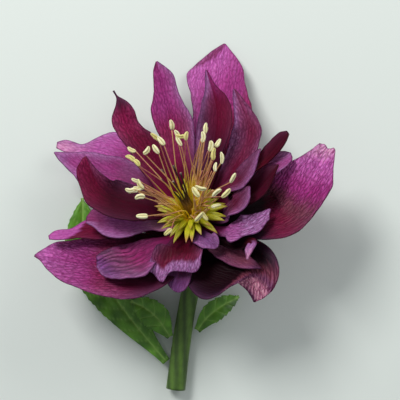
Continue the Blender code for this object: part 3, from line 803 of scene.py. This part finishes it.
def petal_tint(petal, spot, seed):
    """Colour of a point: tones from base to tip, dark deep in the bloom and on one side partly as painted
    shade, broken by streaks, with painted shade in the pleats' furrows, and lilac towards the margins, partly
    as painted sheen.
    """
    fine_x, fine_s = TONE_BREAK.scale
    broken = TONE_BREAK.depth * streaks(spot.x * fine_x, spot.s * fine_s, seed + TONE_BREAK.seed)
    # Shifting the tones further out on one side paints shade over that side of the petal.
    place = spot.s - petal.slant / 2 * spot.t + broken * smooth(*BROKEN_FROM, spot.s)
    colour = tone_at(petal.tones, clamp(place))
    colour *= 1 + TONE_STREAK * petal.folds * streaks(spot.x * TONE_STREAK_SCALE, spot.y, seed)
    # Painted shade in the furrows of the pleats and painted highlight on their crests.
    colour *= 1 - PLEAT_PAINTED_SHADE * pleat(petal, spot.s, spot.x, spot.y, seed)
    # Lilac towards the margins and in clouds over the whole petal: partly the petal's own lilac, partly
    # painted sheen.
    margin = math.exp(-spot.edge / LILAC_SHEEN_REACH) * petal.lilac[spot.t > 0] * smooth(*EDGED_FROM, spot.s)
    cloudy = LILAC_SHEEN_MEAN + clouds(spot.x, spot.s, seed, LILAC_SHEEN_CLOUDS)
    lilac_bloom_and_sheen = petal.lilac[2] * smooth(*CLOUDED_FROM, spot.s) * cloudy
    return colour.lerp(linear(TONES["lilac"]), clamp(margin + lilac_bloom_and_sheen))


def new_material(name):
    material = bpy.data.materials.new(name)
    material.use_nodes = True
    return material, material.node_tree.nodes


def feed(socket, value):
    """Links a socket to the one that it reads, or sets it."""
    if isinstance(value, bpy.types.NodeSocket):
        socket.id_data.links.new(value, socket)
    else:
        socket.default_value = value


def add(nodes, kind, output, *inputs, **values):
    """An output of a new node, whose properties and inputs are given by name, or inputs in their order."""
    node = nodes.new("ShaderNode" + kind)
    for name, value in values.items():
        if hasattr(node, name):
            setattr(node, name, value)
        else:
            feed(node.inputs[name.replace("_", " ")], value)
    for socket, value in zip(node.inputs, inputs):
        feed(socket, value)
    return node.outputs[output]


def times(nodes, first, second):
    return add(nodes, "Math", 0, first, second, operation="MULTIPLY")


def mixed(nodes, share, first, second, blend="MULTIPLY"):
    """The first colour with a share of the second over it."""
    return add(nodes, "Mix", "Result", data_type="RGBA", blend_type=blend, Factor=share, A=first, B=second)


def stretched(nodes, source, scale):
    return add(nodes, "Mapping", "Vector", Vector=source, Scale=(*scale, 1.0))


def ranged(nodes, value, limits):
    """A value read from low to high, given as the two values behind them."""
    return add(nodes, "MapRange", "Result", value, *limits)


def about(nodes, patch, roughness, spread):
    """Roughness that varies with the patches."""
    return ranged(nodes, patch, (0.0, 1.0, roughness + spread[0], roughness + spread[1]))


def dress(nodes, **values):
    """Sets or links the sockets of the material's shader."""
    for name, value in values.items():
        feed(nodes["Principled BSDF"].inputs[name.replace("_", " ")], value)


def petal_material(look):
    """Satin petal: its tint, with painted shade and painted sheen in it, a net of veins, mottling, a thin
    dark rim and a lilac sheen.
    """
    material, nodes = new_material("petal_plum")
    tint = add(nodes, "Attribute", "Color", attribute_name="tint")
    edge = add(nodes, "Attribute", "Fac", attribute_name="edge")
    vein = add(nodes, "Attribute", "Fac", attribute_name="vein")
    size = add(nodes, "UVMap", "UV", uv_map="size")
    spot = add(nodes, "TexCoord", "Object")

    bend = add(nodes, "TexNoise", "Color", Vector=size, Scale=7.0, Detail=3.0)
    bent = add(nodes, "VectorMath", 0, bend, VEIN_BEND, size, operation="MULTIPLY_ADD")
    wave = add(
        nodes, "TexWave", "Fac",
        Vector=stretched(nodes, bent, VEIN_WAVES), Scale=1.0, Distortion=9.0, Detail=2.0, Detail_Scale=1.3,
    )
    net = add(
        nodes, "TexVoronoi", "Distance",
        feature="DISTANCE_TO_EDGE", voronoi_dimensions="2D",
        Vector=stretched(nodes, bent, VEIN_NET), Scale=1.0,
    )
    gaps = add(nodes, "TexNoise", "Fac", Vector=size, Scale=9.0, Detail=2.0)
    long_veins = times(nodes, ranged(nodes, wave, LONG_VEIN_RANGE), ranged(nodes, gaps, BREAK_RANGE))
    lines = add(nodes, "Math", 0, long_veins, ranged(nodes, net, NET_VEIN_RANGE), operation="MAXIMUM")
    veined = mixed(nodes, times(nodes, times(nodes, lines, vein), look.vein_depth), tint, VEIN_TINT)

    fine = stretched(nodes, size, MOTTLE)
    patch = add(nodes, "TexNoise", "Fac", Vector=fine, Scale=1.0, Detail=3.0, Roughness=0.6)
    pale = times(nodes, ranged(nodes, patch, MOTTLE_RANGE), vein)
    mottled = mixed(nodes, times(nodes, pale, look.mottling), veined, MOTTLE_TINT)

    grain = add(nodes, "TexNoise", "Fac", Vector=spot, Scale=PETAL_GRAIN, Detail=2.0)
    raised = add(nodes, "Math", 0, grain, PETAL_GRAIN_SHARE, wave, operation="MULTIPLY_ADD")
    relief = times(nodes, raised, vein)
    dress(
        nodes,
        Base_Color=mixed(nodes, ranged(nodes, edge, RIM_RANGE), mottled, RIM_TINT),
        Roughness=about(nodes, patch, look.roughness, PETAL_GLOSS),
        Normal=add(nodes, "Bump", "Normal", Strength=0.6, Distance=0.00024, Height=relief),
        Specular_IOR_Level=0.08,
        Sheen_Weight=look.sheen,
        Sheen_Roughness=0.35,
        Sheen_Tint=(0.62, 0.48, 0.86, 1.0),
        Subsurface_Weight=look.glow,
        Subsurface_Radius=(1.0, 0.25, 0.45),
        Subsurface_Scale=0.0012,
    )
    return material


def plain_material(name, roughness, mottling, scale, sheen=0.0, glow=0.1):
    """Smooth plant tissue: its own tint, fine mottling and grain."""
    material, nodes = new_material(name)
    tint = add(nodes, "Attribute", "Color", attribute_name="tint")
    spot = add(nodes, "TexCoord", "Object")
    patch = add(nodes, "TexNoise", "Fac", Vector=spot, Scale=scale, Detail=4.0, Roughness=0.6)
    grain = add(nodes, "TexNoise", "Fac", Vector=spot, Scale=scale * TISSUE_GRAIN, Detail=2.0)
    dress(
        nodes,
        Base_Color=mixed(nodes, ranged(nodes, patch, (*TISSUE_PATCHES, 0.0, mottling)), tint, TISSUE_TINT),
        Roughness=about(nodes, patch, roughness, TISSUE_GLOSS),
        Normal=add(nodes, "Bump", "Normal", Strength=0.4, Distance=0.0001, Height=grain),
        Sheen_Weight=sheen,
        Subsurface_Weight=glow,
        Subsurface_Radius=(0.8, 0.6, 0.2),
        Subsurface_Scale=0.0008,
    )
    return material


def finish_piece(name, mesh, material, slot, *nodes):
    """The piece in place: on the model's body, in place of its solids, with its finish."""
    mesh.materials.append(material)
    mesh.shade_smooth()
    piece = bpy.data.objects.new(name, mesh)
    bpy.context.scene.collection.objects.link(piece)
    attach(piece, "root")
    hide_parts(*nodes)
    return piece


def give_thickness(piece, thickness, thin_share, spots, reach):
    """A wall round the sheet, thinner within reach of the margins."""
    group = piece.vertex_groups.new(name="thickness")
    for index, spot in enumerate(spots):
        group.add([index], smooth(0.0, reach, spot.edge), "REPLACE")
    wall = piece.modifiers.new("Thickness", "SOLIDIFY")
    wall.thickness = thickness
    wall.offset = 0.0
    wall.vertex_group = group.name
    wall.thickness_vertex_group = thin_share


def bent_sheet(name, columns, rows, table):
    """A flat grid bent so that its rows follow the table, with its size in centimetres as a UV map."""
    sheet = bmesh.new()
    size = sheet.loops.layers.uv.new("size")
    bmesh.ops.create_grid(sheet, x_segments=columns, y_segments=rows, size=1.0)
    spots = []
    for vertex in sheet.verts:
        spots.append((round((vertex.co.y + 1) / 2 * rows), round(vertex.co.x * columns / 2)))
    for face in sheet.faces:
        for loop in face.loops:
            row, column = spots[loop.vert.index]
            loop[size].uv = [length * CM_PER_MM for length in table[row][column][1:3]]
    for vertex, (row, column) in zip(sheet.verts, spots):
        vertex.co = PLACE @ table[row][column][0]
    mesh = bpy.data.meshes.new(name)
    sheet.to_mesh(mesh)
    sheet.free()
    return mesh, [Spot(row / rows, column * 2 / columns, *table[row][column][1:]) for row, column in spots]


def paint(mesh, name, values):
    """A number or a colour for each point of a mesh, for its material to read."""
    if isinstance(values[0], (int, float)):
        layer = mesh.attributes.new(name, "FLOAT", "POINT")
        layer.data.foreach_set("value", values)
        return
    layer = mesh.attributes.new(name, "FLOAT_COLOR", "POINT")
    layer.data.foreach_set("color", [channel for colour in values for channel in (*colour, 1.0)])


def make_petal(petal, number, sizes, material):
    curve = petal_curve(petal)
    seed = SEED + PETAL_SEED_STEP * number
    columns, rows = sizes.petal_columns, sizes.petal_rows
    steps = columns // 2
    table = [petal_row(petal, curve, i / rows, steps, seed) for i in range(rows + 1)]
    if petal.ends:
        table = ragged(table, petal.ends, rows, steps, curve.length)
    mesh, spots = bent_sheet(petal.name + "_skin", columns, rows, table)
    tints = [petal_tint(petal, spot, seed) for spot in spots]
    light = [VEIN_DARK + (1 - VEIN_DARK) * smooth(*VEIN_LIGHT, tint.x) for tint in tints]
    veins = [petal.veins * share * smooth(*VEINED_FROM, spot.s) for share, spot in zip(light, spots)]
    paint(mesh, "edge", [min(spot.edge, TIP_EDGE_SHARE * (curve.length - spot.y)) for spot in spots])
    paint(mesh, "tint", tints)
    paint(mesh, "vein", veins)
    piece = finish_piece(petal.name + "_skin", mesh, material, "petal_plum", petal.name)
    give_thickness(piece, sizes.petal_thickness, sizes.margin_share, spots, PETAL_THIN_REACH)


def bract_width(bract, s):
    """Width of a bract at s along its midrib, without its teeth."""
    if s < bract.widest:
        share = math.sin(math.pi / 2 * s / bract.widest) ** CLAW_CURVE
        return bract.root + (bract.width - bract.root) * share
    share = (s - bract.widest) / (1 - bract.widest)
    return bract.width * (1 - share ** TIP_CURVE) ** TIP_BLUNT


def branches(x, y, sharpness):
    """How much of a bract's side veins lies at x from its midrib and y along it, from 0 to 1."""
    return max(0.0, math.cos(2 * math.pi * (y - x * BRANCH_SLOPE) / BRANCH_SPACING)) ** sharpness


def bract_row(bract, curve, s, steps, seed):
    """The points of one row across a bract, with its toothed margins, grooved midrib and side veins."""
    along = curve.along(s)
    side = along.cross(FRONT).normalized()
    rib = Rib(curve.at(s), side, side.cross(along), s * curve.length)
    cup = math.radians(blend3(bract.cup, s))
    toothed = smooth(*TOOTHED_FROM, s) * (1 - smooth(*TOOTHED_TO, s))
    tooth = TOOTH_HEIGHT * (1 - (rib.distance / TOOTH_SPACING) % 1) * toothed
    half = max(TIP_WIDTH, bract_width(bract, s) / 2 + tooth - 0.5 * TOOTH_HEIGHT)
    row = {}
    for sign in (-1, 1):

        def lean_at(x):
            return cup / 2 * x

        def rise_at(x):
            groove = GROOVE_DEPTH * bell(x * half, GROOVE_WIDTH)
            side_vein = BRANCH_DEPTH * branches(x * half, rib.distance, BRANCH_SHARPNESS)
            quilt = clouds(sign * x * half, rib.distance, seed, QUILTING)
            return quilt - groove - side_vein

        row.update(half_row(rib, sign, half, steps, lean_at, rise_at))
    return row


def make_bract(bract, number, sizes, material):
    first, second = Vector(bract.midrib[0]), Vector(bract.midrib[1])
    root = first - (second - first).normalized() * BRACT_ROOT_SHIFT
    curve = Curve([root, *bract.midrib[1:]])
    columns, rows = sizes.petal_columns, sizes.petal_rows
    table = [bract_row(bract, curve, i / rows, columns // 2, number) for i in range(rows + 1)]
    mesh, spots = bent_sheet(bract.name + "_leaf", columns, rows, table)
    deep, fresh, vein = map(linear, BRACT_TONES)
    tints = []
    for spot in spots:
        cloudy = BRACT_FRESH_MEAN + clouds(spot.x, spot.y, number, BRACT_CLOUDS)
        branch = BRANCH_TINT * branches(abs(spot.x), spot.y, BRANCH_TINT_SHARPNESS)
        tints.append(deep.lerp(fresh, clamp(cloudy)).lerp(vein, clamp(bell(spot.x, RIB_WIDTH) + branch)))
    paint(mesh, "tint", tints)
    piece = finish_piece(bract.name + "_leaf", mesh, material, "stem_green", bract.name)
    give_thickness(piece, sizes.bract_thickness, sizes.margin_share, spots, BRACT_THIN_REACH)


def capped(points, radii):
    """A path and its radii with both ends closed at their middles."""
    return [points[0], *points, points[-1]], [0.0, *radii, 0.0]


def wrapped_tube(points, radii, sides, lobes=None, side=None):
    """A closed tube: a grid wrapped round a path, welded along its seam and at its ends."""
    tube = bmesh.new()
    rows = len(points) - 1
    bmesh.ops.create_grid(tube, x_segments=sides, y_segments=rows, size=1.0)
    gaps = [points[min(i + 1, rows)] - points[max(i - 1, 0)] for i in range(rows + 1)]
    tangents = [gap.normalized() if gap.length else FRONT for gap in gaps]
    side = side or tangents[0].orthogonal().normalized()
    frames = []
    for tangent in tangents:
        side = (side - side.dot(tangent) * tangent).normalized()
        frames.append((side.copy(), tangent.cross(side)))
    along = tube.verts.layers.float.new("along")
    turned = tube.verts.layers.float.new("turned")
    for vertex in tube.verts:
        row = round((vertex.co.y + 1) / 2 * rows)
        angle = math.pi * (vertex.co.x + 1)
        radius = radii[row] * (lobes(row, angle) if lobes else 1)
        first, second = frames[row]
        vertex[along] = row / rows
        vertex[turned] = angle
        vertex.co = points[row] + radius * (math.cos(angle) * first + math.sin(angle) * second)
    bmesh.ops.remove_doubles(tube, verts=tube.verts[:], dist=WELD)
    bmesh.ops.recalc_face_normals(tube, faces=tube.faces[:])
    return tube


def joined(name, tubes, tint_at):
    """One mesh of all the tubes, in place, tinted by a point's tube, share along it, turn and place."""
    whole = bmesh.new()
    tints = []
    for number, tube in enumerate(tubes):
        along, turned = tube.verts.layers.float["along"], tube.verts.layers.float["turned"]
        tints += [tint_at(number, vertex[along], vertex[turned], vertex.co) for vertex in tube.verts]
        for vertex in tube.verts:
            vertex.co = PLACE @ vertex.co
        part = bpy.data.meshes.new("part")
        tube.to_mesh(part)
        tube.free()
        whole.from_mesh(part)
        bpy.data.meshes.remove(part)
    mesh = bpy.data.meshes.new(name)
    whole.to_mesh(mesh)
    whole.free()
    paint(mesh, "tint", tints)
    return mesh


def make_stem(material):
    """The stem with shallow grooves, swelling into the receptacle, cut clean at its lower end."""
    curve = Curve([p[:3] for p in STEM_POINTS] + [rise * AXIS for rise, _ in RECEPTACLE_PROFILE])
    radii = [p[3] for p in STEM_POINTS] + [radius for _, radius in RECEPTACLE_PROFILE]
    path, widths = [], []
    for s in shares(STEM_STEPS):
        i, share = span_at(curve.knots, s)
        path.append(curve.at(s))
        widths.append(radii[i] + (radii[i + 1] - radii[i]) * smooth(0, 1, share))
    cut = path[0] + (path[1] - path[0]).normalized() * CUT_BEVEL
    path = [cut, path[0], *path, path[-1]]
    widths = [0.0, widths[0] * CUT_SHARE, *widths, 0.0]
    count = len(path) - 1

    def grooves(row, angle):
        share = smooth(*GROOVED_FROM, row) * (1 - smooth(*GROOVED_TO, row / count))
        return 1 + share * sum(depth * math.cos(turns * angle + lag) for depth, turns, lag in STEM_GROOVES)

    green, dark, red, pith = map(linear, STEM_TONES)

    def tint_at(number, share, turned, point):
        if share < PITH_ROWS / count:
            return pith
        uneven = noise.noise(Vector([scale * way for scale, way in zip(STRIPE_SCALE, point)]))
        stripe = 0.5 + 0.5 * math.sin(STRIPE_TURN[0] * point.x + STRIPE_TURN[1] * point.z) + 0.5 * uneven
        colour = green.lerp(dark, clamp(stripe * STRIPE_DEPTH))
        return colour.lerp(red, STEM_RED * smooth(*STEM_RED_FROM, share))

    mesh = joined("stem_skin", [wrapped_tube(path, widths, STEM_SIDES, grooves)], tint_at)
    finish_piece("stem_skin", mesh, material, "stem_green", "stem")


def seen_at(pixel, distance, centre):
    """The point on a pixel's line of sight that lies at a distance from centre, on the viewer's side."""
    x = EYE.x + (pixel[0] - PHOTO_SIZE / 2) * PIXEL
    y = EYE.y - (pixel[1] - PHOTO_SIZE / 2) * PIXEL
    ray = (Vector((x, y, 0.0)) - EYE).normalized()
    middle = (centre - EYE).dot(ray)
    gap = (EYE + middle * ray - centre).length
    back = math.sqrt(max(0.0, distance ** 2 - gap ** 2))
    return EYE + (middle - back) * ray


def spent_tip(seen, crown, chance):
    """The tip of a filament without its anther, between two that have theirs and clear of the styles."""
    styles = on_bloom(STYLE_AZIMUTH, STYLE_REACH, CARPEL_LENGTH)
    while True:
        first = chance.choice(seen)
        near = [tip for tip in seen if math.degrees((tip - crown).angle(first - crown)) < SPENT_SPREAD]
        reach = first.lerp(chance.choice(near), chance.random()) - crown
        share = chance.uniform(*SPENT_REACH)
        if math.degrees(reach.angle(styles)) > STYLES_CLEAR:
            return crown + reach * share


def make_filament(crown, tip, chance):
    """One filament, from the ring of the stamens up along the axis and out to its tip."""
    flat = across(tip - crown)
    base = crown + flat * STAMEN_RING * chance.uniform(*RING_SHARES)
    base += AXIS.cross(flat) * chance.uniform(-RING_ASIDE, RING_ASIDE)
    way = tip - base
    rise = base + (AXIS * FILAMENT_UPRIGHT + way.normalized()).normalized() * way.length * FILAMENT_BEND
    wiggle = Vector([chance.uniform(-FILAMENT_WIGGLE, FILAMENT_WIGGLE) for _ in range(3)])
    curve = Curve([base, rise + wiggle, tip])
    thick, taper = FILAMENT_TAPER
    path = [curve.at(s) for s in shares(FILAMENT_STEPS)]
    radii = [FILAMENT_RADIUS * (thick - taper * s) for s in shares(FILAMENT_STEPS)]
    return wrapped_tube(*capped(path, radii), FILAMENT_SIDES)


def from_groove(angle):
    """How far an angle round an anther is from the groove between its lobes."""
    return min(angle, 2 * math.pi - angle)


def anther_lobes(row, angle):
    """Two lobes with a groove between them."""
    groove = ANTHER_GROOVE * bell(from_groove(angle), ANTHER_GROOVE_TURN)
    return 1 + ANTHER_LOBES * math.cos(2 * angle + math.pi) - groove


def make_anther(middle, turn, crown, chance):
    """One anther, its groove towards the viewer, and where its filament joins it."""
    angle = math.radians(turn)
    axis = Vector((math.cos(angle), math.sin(angle), chance.uniform(-ANTHER_TILT, ANTHER_TILT))).normalized()
    if axis.dot(middle - crown) < 0:
        axis = -axis
    aside = axis.cross(FRONT)
    length = ANTHER_LENGTH * chance.uniform(*ANTHER_LENGTHS)
    radius = ANTHER_RADIUS * chance.uniform(*ANTHER_WIDTHS)
    bow = aside * chance.uniform(-ANTHER_BOW, ANTHER_BOW)
    start = middle - axis * length * 0.5
    points = [start + axis * length * s + bow * math.sin(math.pi * s) for s, _ in ANTHER_OUTLINE]
    radii = [radius * chance.uniform(*ANTHER_LUMPS) * share for _, share in ANTHER_OUTLINE]
    front = (FRONT - axis.z * axis + aside * chance.uniform(-ANTHER_ROLL, ANTHER_ROLL)).normalized()
    anther = wrapped_tube(points, radii, ANTHER_SIDES, anther_lobes, front)
    return anther, middle - axis * length * ANTHER_JOINT


def faded(fade, strengths):
    """How a tube is tinted from base to tip, with its own strength of the third tone."""
    first, second, third = map(linear, fade.tones)

    def tint_at(number, share, turned, point):
        strength = fade.least + fade.more * strengths[number]
        colour = first.lerp(second, smooth(*fade.second_from, share))
        return colour.lerp(third, strength * smooth(*fade.third_from, share))

    return tint_at


def make_stamens(filament_material, anther_material):
    chance = Random(SEED)
    crown = on_bloom(0, 0.0, RECEPTACLE_TOP)
    seen = [seen_at((x, y), STAMEN_LENGTH * share, crown) for x, y, _, share in ANTHERS_SEEN]
    made = [make_anther(middle, turn, crown, chance) for middle, (_, _, turn, _) in zip(seen, ANTHERS_SEEN)]
    anthers = [anther for anther, _ in made]
    tips = [joint for _, joint in made] + [spent_tip(seen, crown, chance) for _ in range(FILAMENTS_SPENT)]
    filaments = [make_filament(crown, tip, chance) for tip in tips]
    warm = [chance.random() for _ in tips]
    cream, ochre, groove_shade = map(linear, ANTHER_TONES)

    def anther_tint(number, share, turned, point):
        colour = cream.lerp(ochre, ANTHER_RIPE * warm[number] ** 2)
        # Olive along the groove: painted shade in the groove between the lobes.
        return colour.lerp(groove_shade, ANTHER_GROOVE_SHADE * bell(from_groove(turned), ANTHER_GROOVE_SHADE_TURN))

    mesh = joined("filaments", filaments, faded(FILAMENT_FADE, warm))
    finish_piece("filaments", mesh, filament_material, "stamen_cream", "stamens")
    mesh = joined("anthers", anthers, anther_tint)
    finish_piece("anthers", mesh, anther_material, "stamen_cream", "stamens")


def nectary_lips(row, angle):
    """An oval horn with the slit of a mouth on its upper side, near its tip."""
    slit = NECTARY_MOUTH * smooth(*MOUTH_FROM, row / NECTARY_STEPS) * bell(angle - math.pi / 2, MOUTH_TURN)
    return 1 + NECTARY_OVAL * math.cos(2 * angle) - slit


def make_nectaries(material):
    """Rows of slim horns round the stamens."""
    chance = Random(SEED)
    straight, curved = NECTARY_BEND
    tubes = []
    for count, full, ring, start, lean in NECTARY_ROWS:
        for k in range(count):
            azimuth = 360 * k / count + chance.uniform(-NECTARY_TURN, NECTARY_TURN)
            tilt = math.radians(lean + chance.uniform(*NECTARY_TILT))
            length = full * chance.uniform(*NECTARY_LENGTHS)
            path, radii = [], []
            for s in shares(NECTARY_STEPS):
                bend = tilt * (straight + curved * s)
                reach = ring + s * length * math.sin(bend)
                path.append(on_bloom(azimuth, reach, RECEPTACLE_TOP + start + s * length * math.cos(bend)))
                radii.append(NECTARY_RADIUS * max(0.0, through(NECTARY_PLACES, NECTARY_SHARES, s)))
            path, radii = [path[0], *path], [0.0, *radii]
            side = on_bloom(azimuth + 90, 1.0, 0.0)
            tubes.append(wrapped_tube(path, radii, NECTARY_SIDES, nectary_lips, side))
    warm = [chance.random() for _ in tubes]
    mesh = joined("nectary_trumpets", tubes, faded(NECTARY_FADE, warm))
    finish_piece("nectary_trumpets", mesh, material, "nectary_green", "nectaries")


def make_carpels(material):
    """The carpels in the middle, each drawn out to a style with a pale end."""
    tubes = []
    for k in range(CARPEL_COUNT):
        path, radii = [], []
        for s in shares(CARPEL_STEPS):
            reach = CARPEL_RING + CARPEL_SPREAD * s ** CARPEL_SPREAD_CURVE
            own = on_bloom(360 * k / CARPEL_COUNT, reach, RECEPTACLE_TOP - CARPEL_SEAT + CARPEL_LENGTH * s)
            path.append(own + on_bloom(STYLE_AZIMUTH, STYLE_REACH * s ** STYLE_CURVE, 0.0))
            body = BODY_RADIUS_MORE * (1 - smooth(*STYLE_FROM, s))
            radii.append(body + STYLE_RADIUS + STIGMA_RADIUS_MORE * smooth(*STIGMA_FROM, s))
        tubes.append(wrapped_tube(*capped(path, radii), CARPEL_SIDES))
    mesh = joined("carpel_group", tubes, faded(CARPEL_FADE, [0.0] * CARPEL_COUNT))
    finish_piece("carpel_group", mesh, material, "carpel_brown", "carpels")


class BloomSizes(bpy.types.PropertyGroup):
    """Sizes of the bloom's sheets."""

    petal_thickness: FloatProperty(
        name="Petal thickness",
        description="Thickness of a petal along its midrib",
        default=0.00045,
        unit="LENGTH",
    )
    bract_thickness: FloatProperty(
        name="Bract thickness",
        description="Thickness of a bract along its midrib",
        default=0.0005,
        unit="LENGTH",
    )
    margin_share: FloatProperty(
        name="Margin share",
        description="Thickness of a margin as a share of that at the midrib",
        default=0.4,
        subtype="FACTOR",
    )
    petal_columns: IntProperty(name="Petal columns", description="Faces across a petal, even", default=40)
    petal_rows: IntProperty(name="Petal rows", description="Faces along a petal", default=72)


class BloomLook(bpy.types.PropertyGroup):
    """Finish of the petals."""

    vein_depth: FloatProperty(
        name="Vein depth", description="How dark the net of veins is", default=0.7, subtype="FACTOR"
    )
    mottling: FloatProperty(
        name="Mottling", description="How pale the patches between veins are", default=0.7, subtype="FACTOR"
    )
    roughness: FloatProperty(
        name="Roughness", description="Roughness of a petal", default=0.5, subtype="FACTOR"
    )
    sheen: FloatProperty(name="Sheen", description="Lilac sheen of a petal", default=0.02, subtype="FACTOR")
    glow: FloatProperty(
        name="Glow", description="Light that passes through a petal", default=0.15, subtype="FACTOR"
    )


class StageLook(bpy.types.PropertyGroup):
    """Floor and light."""

    floor_colour: FloatVectorProperty(
        name="Floor colour", description="Colour of the surface", default=(0.74, 0.79, 0.74), subtype="COLOR"
    )
    key_power: FloatProperty(
        name="Key light", description="Power of the soft main light", default=4.1, unit="POWER"
    )
    sky: FloatProperty(name="Sky light", description="Strength of the light from all round", default=0.33)


class HELLEBORE_OT_petals(bpy.types.Operator):
    """Build the outer sepals and the inner petals"""

    bl_idname = "hellebore.petals"
    bl_label = "Petals"

    def execute(self, context):
        material = petal_material(context.scene.bloom_look)
        for number, petal in enumerate(PETALS):
            make_petal(petal, number, context.scene.bloom_sizes, material)
        return {"FINISHED"}


class HELLEBORE_OT_bracts(bpy.types.Operator):
    """Build the bracts on the stem"""

    bl_idname = "hellebore.bracts"
    bl_label = "Bracts"

    def execute(self, context):
        material = plain_material("bract_green", roughness=0.45, mottling=0.5, scale=500.0)
        for number, bract in enumerate(BRACTS):
            make_bract(bract, number, context.scene.bloom_sizes, material)
        return {"FINISHED"}


class HELLEBORE_OT_stem(bpy.types.Operator):
    """Build the stem and the receptacle"""

    bl_idname = "hellebore.stem"
    bl_label = "Stem"

    def execute(self, context):
        make_stem(plain_material("stem_skin_green", roughness=0.45, mottling=0.5, scale=700.0))
        return {"FINISHED"}


class HELLEBORE_OT_stamens(bpy.types.Operator):
    """Build the filaments and the anthers"""

    bl_idname = "hellebore.stamens"
    bl_label = "Stamens"

    def execute(self, context):
        filament = plain_material("filament", roughness=0.4, mottling=0.25, scale=900.0, glow=0.2)
        anther = plain_material("anther", roughness=0.6, mottling=0.35, scale=1500.0, sheen=0.2, glow=0.2)
        make_stamens(filament, anther)
        return {"FINISHED"}


class HELLEBORE_OT_nectaries(bpy.types.Operator):
    """Build the ring of nectaries"""

    bl_idname = "hellebore.nectaries"
    bl_label = "Nectaries"

    def execute(self, context):
        make_nectaries(plain_material("nectary_skin", roughness=0.35, mottling=0.3, scale=900.0, glow=0.25))
        return {"FINISHED"}


class HELLEBORE_OT_carpels(bpy.types.Operator):
    """Build the carpels and their styles"""

    bl_idname = "hellebore.carpels"
    bl_label = "Carpels"

    def execute(self, context):
        make_carpels(plain_material("carpel_skin", roughness=0.4, mottling=0.3, scale=900.0))
        return {"FINISHED"}


def make_floor(colour):
    """A wide pale surface with faint clouds in its paper."""
    sheet = bmesh.new()
    bmesh.ops.create_grid(sheet, x_segments=1, y_segments=1, size=FLOOR_SIZE)
    mesh = bpy.data.meshes.new("floor")
    sheet.to_mesh(mesh)
    sheet.free()
    material, nodes = new_material("floor_paper")
    cloud = add(nodes, "TexNoise", "Fac", Vector=add(nodes, "TexCoord", "Object"), Scale=6.0, Detail=2.0)
    shade = [FLOOR_SHADE * c for c in colour]
    dress(nodes, Base_Color=mixed(nodes, cloud, (*colour, 1.0), (*shade, 1.0), "MIX"), Roughness=0.9)
    mesh.materials.append(material)
    floor = bpy.data.objects.new("floor", mesh)
    bpy.context.scene.collection.objects.link(floor)


def light_sky(strength):
    """Even light from all round."""
    world = bpy.data.worlds.new("soft_sky")
    world.use_nodes = True
    back = world.node_tree.nodes["Background"]
    back.inputs["Color"].default_value = SKY_COLOUR
    back.inputs["Strength"].default_value = strength
    bpy.context.scene.world = world


def place_lamp(name, power, size, place):
    """A soft square lamp turned to the bloom."""
    data = bpy.data.lights.new(name, "AREA")
    data.energy = power
    data.size = size
    lamp = bpy.data.objects.new(name, data)
    lamp.location = place
    lamp.rotation_euler = (LAMP_TARGET - place).to_track_quat("-Z", "Y").to_euler()
    bpy.context.scene.collection.objects.link(lamp)


def place_camera():
    """The camera where the photograph was taken from."""
    data = bpy.data.cameras.new("camera")
    data.lens = data.sensor_width * CAMERA_DISTANCE / (PHOTO_SIZE * PIXEL)
    data.clip_start = CLIP_START
    camera = bpy.data.objects.new("camera", data)
    camera.matrix_world = Matrix.Translation(PLACE @ EYE) @ TURN
    bpy.context.scene.collection.objects.link(camera)
    bpy.context.scene.camera = camera


class HELLEBORE_OT_stage(bpy.types.Operator):
    """Build the pale floor, the soft light and the camera"""

    bl_idname = "hellebore.stage"
    bl_label = "Stage"

    def execute(self, context):
        look = context.scene.stage_look
        make_floor(look.floor_colour)
        light_sky(look.sky)
        place_lamp("key", look.key_power, KEY_LAMP_SIZE, KEY_LAMP_PLACE)
        place_lamp("rim", look.key_power * RIM_LAMP_SHARE, RIM_LAMP_SIZE, RIM_LAMP_PLACE)
        place_camera()
        context.scene.view_settings.view_transform = "Standard"
        return {"FINISHED"}


class HELLEBORE_PT_bloom(bpy.types.Panel):
    """Lists the bloom's pieces"""

    bl_label = "Hellebore"
    bl_idname = "HELLEBORE_PT_bloom"
    bl_space_type = "VIEW_3D"
    bl_region_type = "UI"
    bl_category = "Hellebore"

    def draw(self, context):
        for group in (context.scene.bloom_sizes, context.scene.bloom_look, context.scene.stage_look):
            for name in group.__annotations__:
                self.layout.prop(group, name)
        for operator in OPERATORS:
            self.layout.operator(operator.bl_idname)


OPERATORS = (
    HELLEBORE_OT_petals,
    HELLEBORE_OT_bracts,
    HELLEBORE_OT_stem,
    HELLEBORE_OT_stamens,
    HELLEBORE_OT_nectaries,
    HELLEBORE_OT_carpels,
    HELLEBORE_OT_stage,
)
CLASSES = (BloomSizes, BloomLook, StageLook, *OPERATORS, HELLEBORE_PT_bloom)


def register():
    for cls in CLASSES:
        bpy.utils.register_class(cls)
    bpy.types.Scene.bloom_sizes = PointerProperty(type=BloomSizes)
    bpy.types.Scene.bloom_look = PointerProperty(type=BloomLook)
    bpy.types.Scene.stage_look = PointerProperty(type=StageLook)


def unregister():
    del bpy.types.Scene.stage_look
    del bpy.types.Scene.bloom_look
    del bpy.types.Scene.bloom_sizes
    for cls in reversed(CLASSES):
        bpy.utils.unregister_class(cls)


def main():
    register()
    bpy.ops.hellebore.petals()
    bpy.ops.hellebore.bracts()
    bpy.ops.hellebore.stem()
    bpy.ops.hellebore.stamens()
    bpy.ops.hellebore.nectaries()
    bpy.ops.hellebore.carpels()
    bpy.ops.hellebore.stage()


if __name__ == "__main__":
    main()
